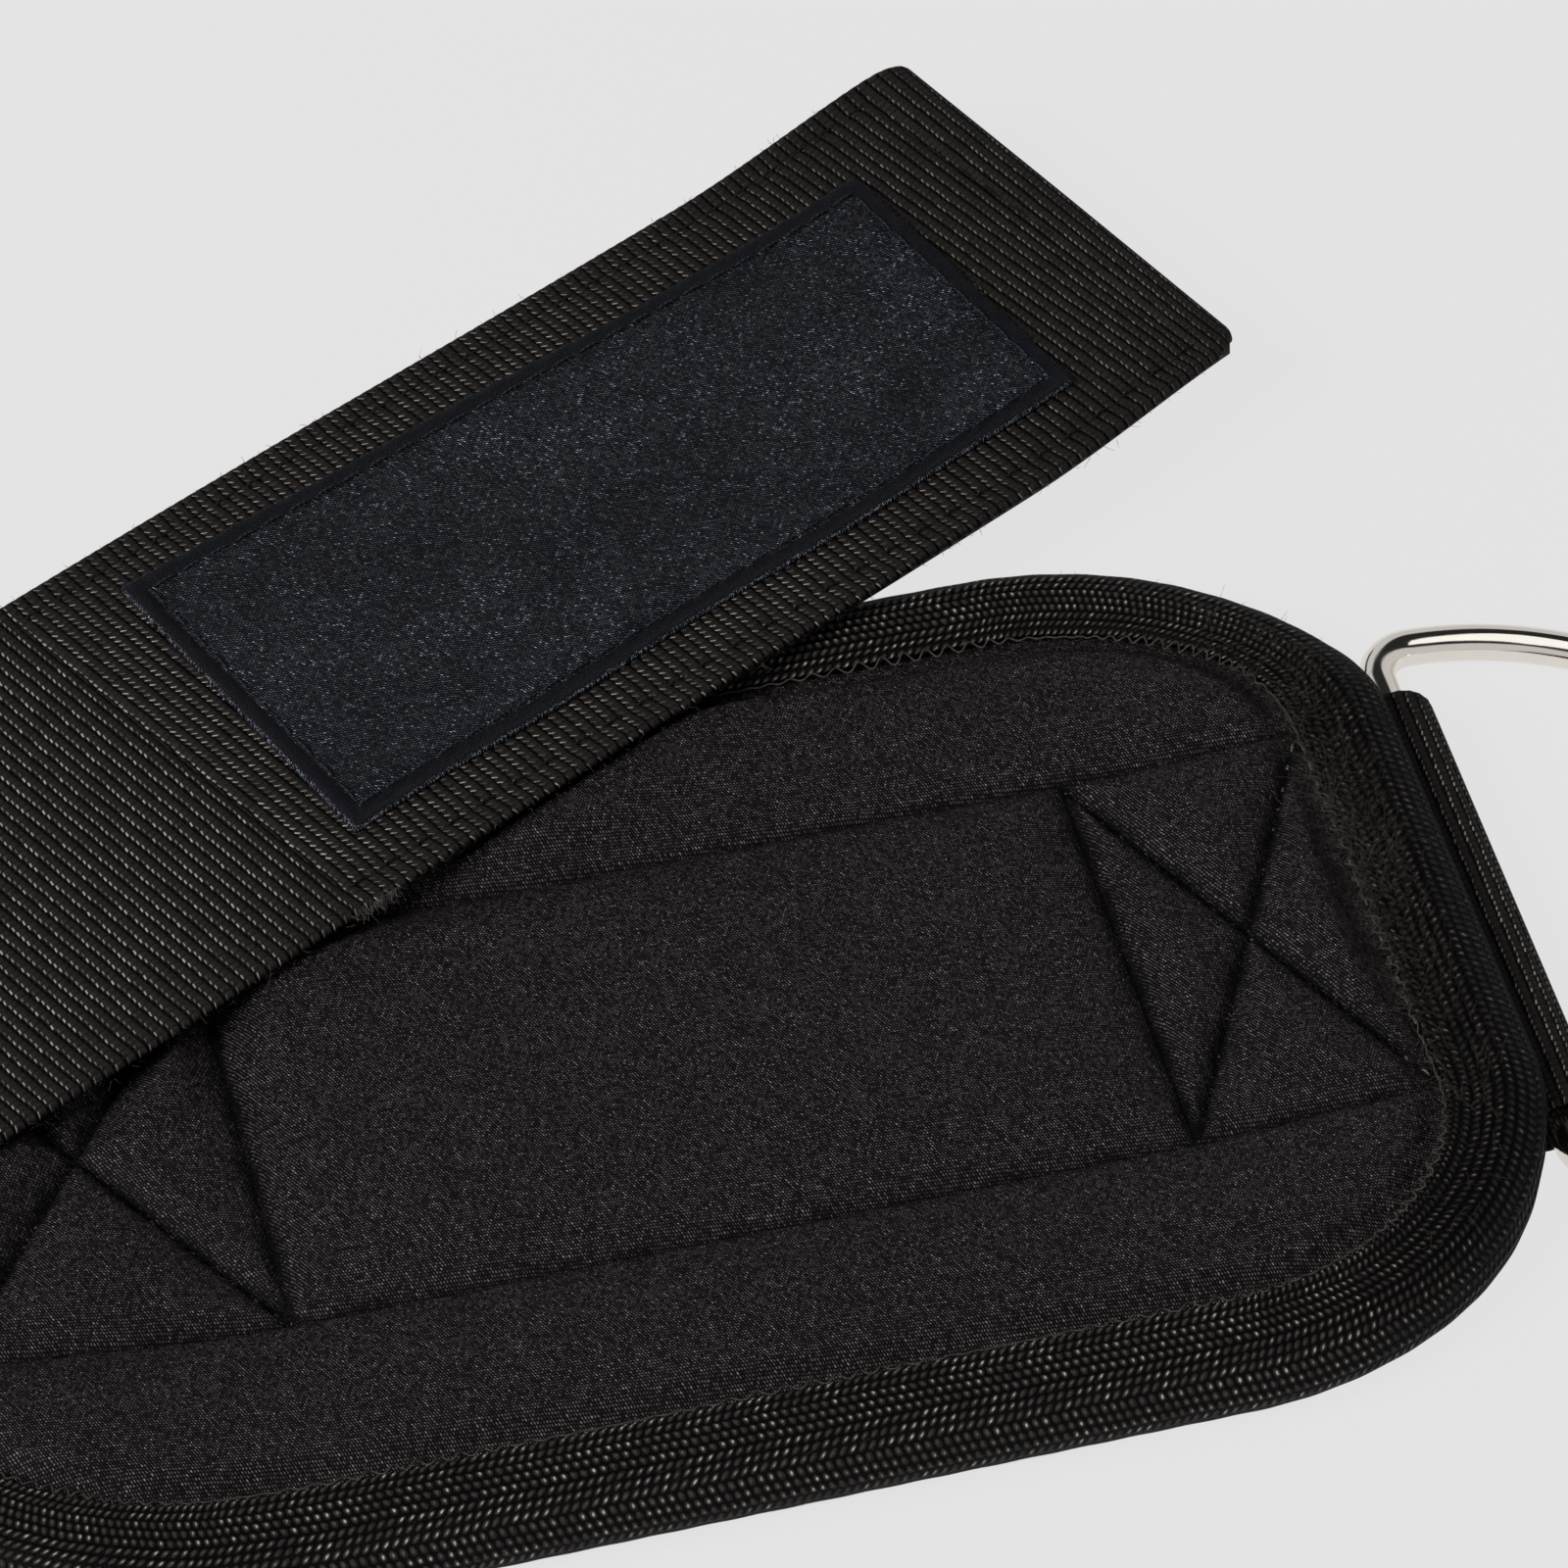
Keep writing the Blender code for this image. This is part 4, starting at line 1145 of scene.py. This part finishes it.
# The fastener patch: hook tape sewn to the inner face of the strap's tip, so
# that it grips the loops of the webbing when the strap is drawn round.


def flat_piece(name, u_range, v_range, heights, columns, rows):
    """Thin closed shell that follows the strap between two heights off its middle face."""
    u = np.linspace(*u_range, rows)
    v = np.linspace(*v_range, columns)
    grid_u, grid_v = np.meshgrid(u, v, indexing="ij")
    low = on_strap(grid_u, grid_v, np.full_like(grid_u, heights[0]))
    high = on_strap(grid_u, grid_v, np.full_like(grid_u, heights[1]))
    sections = np.concatenate([high, low[:, ::-1]], axis=1)
    weave = np.stack([grid_v, grid_u], axis=-1) * 1000.0
    return carried(name, sections, np.concatenate([weave, weave[:, ::-1]], axis=1))


hook_pitch = 1.1
rank_pitch = 1.6
hook_black = (0.006, 0.006, 0.006)
hook_tip = (0.035, 0.033, 0.030)
hook_height = 0.0005


def hook_material():
    """Black hook tape: rows of small raised dots."""
    cloth = Cloth("hook_tape", roughness=0.70, specular=0.15)
    hook = cloth.across / hook_pitch
    rank = cloth.along / rank_pitch
    dot = hook.centred().size().between(0.35, 0.1) * rank.centred().size().between(0.35, 0.1)
    colour = cloth.colours(dot, hook_black, hook_tip)
    return cloth.finish(colour, dot, hook_height)


patch_range = (over_run - patch_end_margin - patch_length, over_run - patch_end_margin)
patch_near = strap_wall / 2 + piece_gap
patch = flat_piece("hook_patch", patch_range, (-patch_width / 2, patch_width / 2),
                   (-patch_near - patch_wall, -patch_near), columns=25, rows=90)
patch.data.materials.append(hook_material())
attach(patch, "cuff")
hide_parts("fastener_patch")


# The label: blue-black satin, woven with a fine twill, its four edges folded
# under and sewn down on the strap's outer face. It is left bare.

label_start = 0.0822
label_end = 0.1670
label_low = -0.0180
label_high = 0.0172
label_lean = -0.0021
label_skew = 0.0017
label_wall = 0.0005
label_hem = 0.0017
label_stitch = 0.0019
label_columns = 74
label_rows = 176
hem_height = 0.00008
hem_round = 0.0004
hem_round_depth = 0.00042
stitch_dip = 0.00020
stitch_dip_width = 0.00035
label_swell = 0.00016
label_swell_size = 0.0120
label_swell_seed = 8
label_swell_ease = 0.0040
pucker_wave = 0.00005
pucker_wave_pitch = 0.0037
pucker_wave_reach = 0.0030
label_wander = 0.00018
label_foot = 0.0001


def sewn_askew(u, v):
    """The label's places as they were sewn: its ends lean, and its far half stands a little lower."""
    share_u = (2.0 * u - label_start - label_end) / (label_end - label_start)
    share_v = (2.0 * v - label_low - label_high) / (label_high - label_low)
    return u - label_lean * share_v, v - label_skew * share_u * (0.5 + 0.5 * share_v)


def satin_label():
    """Closed shell on the strap: a raised hem, a sewn dip inside it and a soft uneven middle."""
    share_u = np.linspace(0.0, 1.0, label_rows)
    share_v = np.linspace(0.0, 1.0, label_columns)
    grid_u, grid_v = np.meshgrid(label_start + (label_end - label_start) * share_u,
                                 label_low + (label_high - label_low) * share_v, indexing="ij")
    edge_u = np.minimum(grid_u - label_start, label_end - grid_u)
    edge_v = np.minimum(grid_v - label_low, label_high - grid_v)
    edge = np.minimum(edge_u, edge_v)
    hem = hem_height * (1.0 - smooth((edge - label_hem * 0.6) / (label_hem * 0.5)))
    round_off = hem_round_depth * (1.0 - np.sqrt(np.clip(edge / hem_round, 0.0, 1.0)))
    dip = stitch_dip * np.exp(-((edge - label_stitch) / stitch_dip_width) ** 2)
    swell = label_swell * slow_swell(grid_u, grid_v, label_swell_seed, label_swell_size)
    swell = swell * smooth(edge / label_swell_ease)
    fine = pucker_wave * np.sin(2 * math.pi * (grid_u + grid_v) / pucker_wave_pitch)
    fine = fine * np.exp(-edge / pucker_wave_reach)
    near = strap_wall / 2
    top = near + piece_gap + label_wall + hem - round_off - dip + swell + fine
    wander = label_wander * np.sin(grid_u / 0.0052) * np.sin(grid_v / 0.0061 + 1.0)
    placed_u, placed_v = sewn_askew(grid_u, grid_v)
    high = on_strap(placed_u + wander, placed_v + wander, top)
    low = on_strap(placed_u + wander, placed_v + wander, np.full_like(grid_u, near + label_foot))
    sections = np.concatenate([high, low[:, ::-1]], axis=1)
    weave = np.stack([grid_v - label_low, grid_u - label_start], axis=-1) * 1000.0
    return carried("satin_label", sections, np.concatenate([weave, weave[:, ::-1]], axis=1))


satin_dark = (0.0010, 0.0011, 0.0023)
satin_light = (0.0019, 0.0021, 0.0038)
satin_seam = (0.0010, 0.0011, 0.0018)
# satin_glint: colour of the painted glints, sparkles and sheen, and also of the frayed cut edge
satin_glint = (0.48, 0.51, 0.60)
first_pitch = 0.29
second_pitch = 0.33
hem_pitch = 0.21
sparkle_chance = 0.90
satin_depth = 0.00010


def satin_material():
    """Blue-black satin: fine slanted floats with painted cold glints in patches of painted sheen, and short
    floats square to the edge with painted highlights.
    """
    cloth = Cloth("label_satin", roughness=0.42, specular=0.06)
    wide = (label_high - label_low) * 1000.0
    long = (label_end - label_start) * 1000.0
    to_side = (cloth.across - wide / 2).size().rsub(wide / 2)
    to_end = (cloth.along - long / 2).size().rsub(long / 2)
    edge = to_side.run("MINIMUM", to_end) + (cloth.cloud(2.0) - 0.5) * 0.25
    on_hem = edge.between(label_hem * 1000.0 + 0.1, label_hem * 1000.0 - 0.1)
    first = (cloth.across + cloth.along * 0.55) / first_pitch
    second = (cloth.along - cloth.across * 0.30) / second_pitch + first.floor() * 0.5
    spot_along = second.centred()
    spot = (first.centred() + spot_along * 0.4).size().between(0.38, 0.08)
    spot = spot * spot_along.size().between(0.50, 0.20)
    chance = cloth.chance(first.floor(), second.floor())
    # broad patches of painted sheen that strengthen the painted glints
    sheen_zone = cloth.cloud(20.0, 2.0, stretch=(1.6, 0.7)).between(0.35, 0.65)
    fine = cloth.cloud(0.14, 2.0)
    sparkle = chance.between(sparkle_chance, 1.0) * (sheen_zone * 0.5 + 0.5) * 0.34
    glint = spot * ((chance * 0.24 + 0.07) * (sheen_zone * 0.2 + 0.85) + sparkle) * (fine * 1.2 + 0.3)
    side_float = (cloth.along / hem_pitch).centred().size().between(0.45, 0.1)
    end_float = (cloth.across / hem_pitch).centred().size().between(0.45, 0.1)
    nearer_side = (to_end - to_side).between(-0.1, 0.1)
    float_line = side_float * nearer_side + end_float * nearer_side.rsub(1.0)
    # painted highlights on the short floats of the hem
    hem_highlight = float_line * (fine * fine * 0.26) * on_hem
    seam = (edge - label_stitch * 1000.0).size().between(0.26, 0.08)
    cut_edge = edge.between(0.28, 0.08) * fine.between(0.50, 0.62)
    base = cloth.colours(cloth.cloud(9.0, 3.0), satin_dark, satin_light)
    body = cloth.colours(seam, base, satin_seam)
    share = glint * on_hem.rsub(1.0) + hem_highlight + cut_edge * 0.35
    colour = cloth.colours(share.between(0.0, 1.0), body, satin_glint)
    relief = spot * 0.5 * on_hem.rsub(1.0) + float_line * on_hem * 0.8 + fine * 0.3
    return cloth.finish(colour, relief, satin_depth)


label = satin_label()
label.data.materials.append(satin_material())
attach(label, "cuff")
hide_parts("label")


# The sewing: waxed thread in long lock stitches round the fastener patch, round
# the label and in the grooves of the pad. Each stitch is a short bead of thread
# that dips into the cloth at both ends.


stitch_sides = 6
stitch_rings = 7
ply_depth = 0.00005


def stitches(name, starts, ends, normals, radius, rise, colour):
    """Beads from start to end: a circle of varying radius on a low arch, all as one array."""
    sides, rings = stitch_sides, stitch_rings
    t = np.linspace(0.0, 1.0, rings)
    run = ends - starts
    length = np.linalg.norm(run, axis=1, keepdims=True)
    tangent = run / np.maximum(length, 1e-9)
    side = np.cross(normals, tangent)
    arch = rise * np.sin(math.pi * t) - radius * 0.9 * (1 - np.sin(math.pi * t))
    thick = radius * np.sqrt(np.maximum(np.sin(math.pi * np.clip(t, 0.04, 0.96)), 0.0)) ** 0.7
    angle = np.linspace(0.0, 2 * math.pi, sides, endpoint=False)
    centre = starts[:, None] + t[None, :, None] * run[:, None] + arch[None, :, None] * normals[:, None]
    ring = (np.cos(angle)[:, None] * side[:, None, None] + np.sin(angle)[:, None] * normals[:, None, None])
    points = centre[:, :, None] + thick[None, :, None, None] * ring
    count = len(starts)
    per = rings * sides
    grid = np.meshgrid(np.arange(count), np.arange(rings - 1), np.arange(sides), indexing="ij")
    k, i, j = (m.ravel() for m in grid)
    here = k * per + i * sides
    after = (j + 1) % sides
    quads = np.stack([here + j, here + after, here + sides + after, here + sides + j], axis=1)
    first = np.arange(count)[:, None] * per + np.arange(sides)[None, :]
    caps = list(first[:, ::-1]) + list(first + (rings - 1) * sides)
    flat = points.reshape(-1, 3)
    weave = np.stack([np.tile(angle, count * rings), np.repeat(np.tile(t * 4.0, count), sides)], axis=1)
    piece = mesh_of(name, flat, quads, weave[quads], caps, weave)
    cloth = Cloth(name + "_thread", roughness=0.55, specular=0.06)
    ply = (cloth.along + cloth.across * 0.16).centred().size()
    shade = tuple(c * 0.35 for c in colour)
    twisted = cloth.colours(ply.between(0.1, 0.45), colour, shade)
    piece.data.materials.append(cloth.finish(twisted, ply, ply_depth))
    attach(piece, "cuff")
    return piece


def box_route(u0, u1, v0, v1):
    """Corners of a rectangle on the strap, closed."""
    return np.array([(u0, v0), (u1, v0), (u1, v1), (u0, v1), (u0, v0)])


def pieces_of_route(route, pitch, share):
    """Start and end of each stitch along straight strokes, at an even pitch."""
    starts, ends = [], []
    for (u0, v0), (u1, v1) in zip(route[:-1], route[1:]):
        length = math.hypot(u1 - u0, v1 - v0)
        count = max(1, int(round(length / pitch)))
        t = np.arange(count) / count
        a = np.stack([u0 + (u1 - u0) * t, v0 + (v1 - v0) * t], axis=1)
        step = np.array([(u1 - u0), (v1 - v0)]) / count
        starts.append(a)
        ends.append(a + share * step)
    return np.concatenate(starts), np.concatenate(ends)


def strap_stitches(name, route, place, height, pitch, share, radius, rise, colour):
    """Stitches along a route on the strap's outer face, put where the sewn piece lies."""
    a, b = pieces_of_route(route, pitch, share)
    a, b = np.stack(place(*a.T), axis=1), np.stack(place(*b.T), axis=1)
    start = on_strap(a[:, 0], a[:, 1], np.full(len(a), height))
    end = on_strap(b[:, 0], b[:, 1], np.full(len(b), height))
    above = on_strap(a[:, 0], a[:, 1], np.full(len(a), height + probe))
    normal = (above - start) / probe
    return stitches(name, start, end, normal, radius, rise, colour)


patch_route = box_route(stitch_box_start, stitch_box_end, -stitch_box_half, stitch_box_half)
strap_stitches("patch_stitches", patch_route, lambda u, v: (u, v), height=strap_wall / 2 - stitch_groove,
               pitch=0.0036, share=0.84, radius=0.00015, rise=0.00008, colour=(0.0065, 0.0060, 0.0058))
label_route = box_route(label_start + label_stitch, label_end - label_stitch,
                        label_low + label_stitch, label_high - label_stitch)
label_face = 0.00095
strap_stitches("label_stitches", label_route, sewn_askew, height=strap_wall / 2 + label_face,
               pitch=0.0030, share=0.80, radius=0.00013, rise=0.00008, colour=(0.016, 0.018, 0.026))


def pad_stitches():
    """Short glinting stitches at the bottom of the grooves of the crossed boxes."""
    starts, ends = [], []
    for place, (x0, y0, x1, y1) in enumerate(seam_lines()):
        if place < 2:
            continue
        a, b = pieces_of_route(np.array([(x0, y0), (x1, y1)]), pitch=0.0024, share=0.42)
        starts.append(a)
        ends.append(b)
    a, b = np.concatenate(starts), np.concatenate(ends)
    _, covered, _ = strap_underside(a[:, 0], a[:, 1])
    a, b = a[~covered], b[~covered]
    above = 0.00010
    start = np.column_stack([a, pad_top(a[:, 0], a[:, 1]) + above])
    end = np.column_stack([b, pad_top(b[:, 0], b[:, 1]) + above])
    up = np.tile([0.0, 0.0, 1.0], (len(a), 1))
    return stitches("pad_stitches", start, end, up, radius=0.00015, rise=0.00010,
                    colour=(0.085, 0.078, 0.066))


pad_stitches()


# The ring: a D of polished steel wire, its joint closed inside the strap's
# fold. The bar is straight and the bow is a half circle with tight corners.

bow_radius = 0.0318
ring_corner = 0.0040
ring_clearance = 0.0001
wire_sides = 28
corner_steps = 16
bow_steps = 120
bar_steps = 12


def ring_route():
    """Centre line of the D in its own plane: bar, quarter-circle corner, half-circle bow, corner."""
    straight = bow_radius - ring_corner
    corner = np.linspace(math.pi, math.pi / 2, corner_steps)
    bow = np.linspace(math.pi / 2, -math.pi / 2, bow_steps)[1:-1]
    bar_y_line = np.linspace(-straight, straight, bar_steps)[:-1]
    corner_x = ring_corner + ring_corner * np.cos(corner)
    upper = np.stack([corner_x, straight + ring_corner * np.sin(corner)], axis=1)
    arc = np.stack([ring_corner + bow_radius * np.cos(bow), bow_radius * np.sin(bow)], axis=1)
    bar = np.stack([np.zeros_like(bar_y_line), bar_y_line], axis=1)
    lower = upper[::-1] * np.array([1.0, -1.0])
    return np.concatenate([bar, upper, arc, lower[:-1]])


def steel_wire():
    """A circle carried square to the centre line, then tilted about the bar till the bow lies down."""
    route = ring_route()
    ahead = np.roll(route, -1, axis=0) - np.roll(route, 1, axis=0)
    ahead = ahead / np.linalg.norm(ahead, axis=1, keepdims=True)
    side = np.stack([ahead[:, 1], -ahead[:, 0]], axis=1)
    angle = np.linspace(0.0, 2 * math.pi, wire_sides, endpoint=False)
    flat = route[:, None, :] + wire / 2 * np.cos(angle)[None, :, None] * side[:, None, :]
    height = np.broadcast_to(wire / 2 * np.sin(angle)[None, :], flat.shape[:2])
    tilt = math.asin((bar_z - wire / 2 - ring_clearance) / (ring_corner + bow_radius))
    x = bar_x + flat[..., 0] * math.cos(tilt) + height * math.sin(tilt)
    z = bar_z - flat[..., 0] * math.sin(tilt) + height * math.cos(tilt)
    sections = np.stack([x, bar_y + flat[..., 1], z], axis=-1)
    strokes = np.diff(np.concatenate([route, route[:1]]), axis=0)
    run = np.concatenate([[0.0], np.cumsum(np.linalg.norm(strokes, axis=1))])
    weave = np.stack(np.meshgrid(run, angle * wire / 2, indexing="ij"), axis=-1) * 1000.0
    return carried("ring_wire", sections, weave, closed=True)


steel_dark = (0.82, 0.77, 0.70)
steel_light = (0.90, 0.86, 0.79)
mark_depth = 0.00001


def steel_material():
    """Polished plated steel with faint drawing marks along the wire."""
    cloth = Cloth("ring_steel", roughness=0.10)
    cloth.shader.inputs["Metallic"].default_value = 1.0
    marks = cloth.cloud(1.2, 3.0, stretch=(0.15, 3.0))
    colour = cloth.colours(cloth.cloud(2.5, 2.0), steel_dark, steel_light)
    return cloth.finish(colour, marks, mark_depth)


ring = steel_wire()
ring.data.materials.append(steel_material())
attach(ring, "ring")
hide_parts("d_ring")


# The floor, the light and the camera: a pale sweep that glows evenly, a soft key
# light from the front left and a weak one above. The sky is bright only low
# down, and its dark upper part draws the black lines on the ring.

floor_size = 3.0
floor_height = -0.0002
paper_shade = 0.025
paper_glow = 0.74
reach = floor_size / 2
floor_corners = [(x, y, floor_height) for x, y in ((-reach, -reach), (reach, -reach),
                                                   (reach, reach), (-reach, reach))]
floor_mesh = bpy.data.meshes.new("floor")
floor_mesh.from_pydata(floor_corners, [], [(0, 1, 2, 3)])
floor = bpy.data.objects.new("floor", floor_mesh)
bpy.context.scene.collection.objects.link(floor)
floor_paper = bpy.data.materials.new("floor_paper")
floor_paper.use_nodes = True
paper = floor_paper.node_tree.nodes["Principled BSDF"]
paper.inputs["Base Color"].default_value = (paper_shade, paper_shade, paper_shade, 1.0)
paper.inputs["Roughness"].default_value = 1.0
paper.inputs["Specular IOR Level"].default_value = 0.0
paper.inputs["Emission Color"].default_value = (1.0, 1.0, 1.0, 1.0)
paper.inputs["Emission Strength"].default_value = paper_glow
floor_mesh.materials.append(floor_paper)


def soft_light(name, place, aim, size, power):
    """Square area light at a place, turned to its aim."""
    lamp = bpy.data.lights.new(name, "AREA")
    lamp.shape = "SQUARE"
    lamp.size = size
    lamp.energy = power
    light = bpy.data.objects.new(name, lamp)
    place = np.array(place)
    toward = np.array(aim) - place
    heading = math.atan2(toward[1], toward[0])
    drop = math.atan2(math.hypot(toward[0], toward[1]), -toward[2])
    light.location = place
    light.rotation_euler = (drop, 0.0, heading - math.pi / 2)
    bpy.context.scene.collection.objects.link(light)
    return light


soft_light("key_light", place=(-0.80, -0.38, 0.80), aim=(0.0, 0.02, 0.0), size=0.50, power=20.0)
soft_light("top_light", place=(0.10, -0.25, 1.15), aim=(0.0, 0.0, 0.0), size=0.90, power=2.8)

dark_from = 0.58
dark_to = 0.68
low_sky = 0.60
high_sky = 0.02
world = bpy.data.worlds.new("studio")
world.use_nodes = True
sky = world.node_tree.nodes
place = sky.new("ShaderNodeTexCoord")
height = sky.new("ShaderNodeSeparateXYZ")
band = sky.new("ShaderNodeMapRange")
band.interpolation_type = "SMOOTHSTEP"
band.inputs["From Min"].default_value = dark_from
band.inputs["From Max"].default_value = dark_to
band.inputs["To Min"].default_value = low_sky
band.inputs["To Max"].default_value = high_sky
world.node_tree.links.new(place.outputs["Generated"], height.inputs[0])
world.node_tree.links.new(height.outputs["Z"], band.inputs["Value"])
world.node_tree.links.new(band.outputs[0], sky["Background"].inputs["Strength"])
sky["Background"].inputs["Color"].default_value = (1.0, 1.0, 1.0, 1.0)
bpy.context.scene.world = world
bpy.context.scene.view_settings.view_transform = "Standard"
bpy.context.scene.view_settings.look = "None"

camera_data = bpy.data.cameras.new("photo_camera")
camera_data.lens = 180.0
camera_data.sensor_width = 36.0
camera_data.clip_start = 0.01
camera = bpy.data.objects.new("photo_camera", camera_data)
camera.location = (-0.11738, -0.42826, 0.52463)
camera.rotation_euler = (math.radians(42.29), 0.0, math.radians(-14.49))
bpy.context.scene.collection.objects.link(camera)
bpy.context.scene.camera = camera
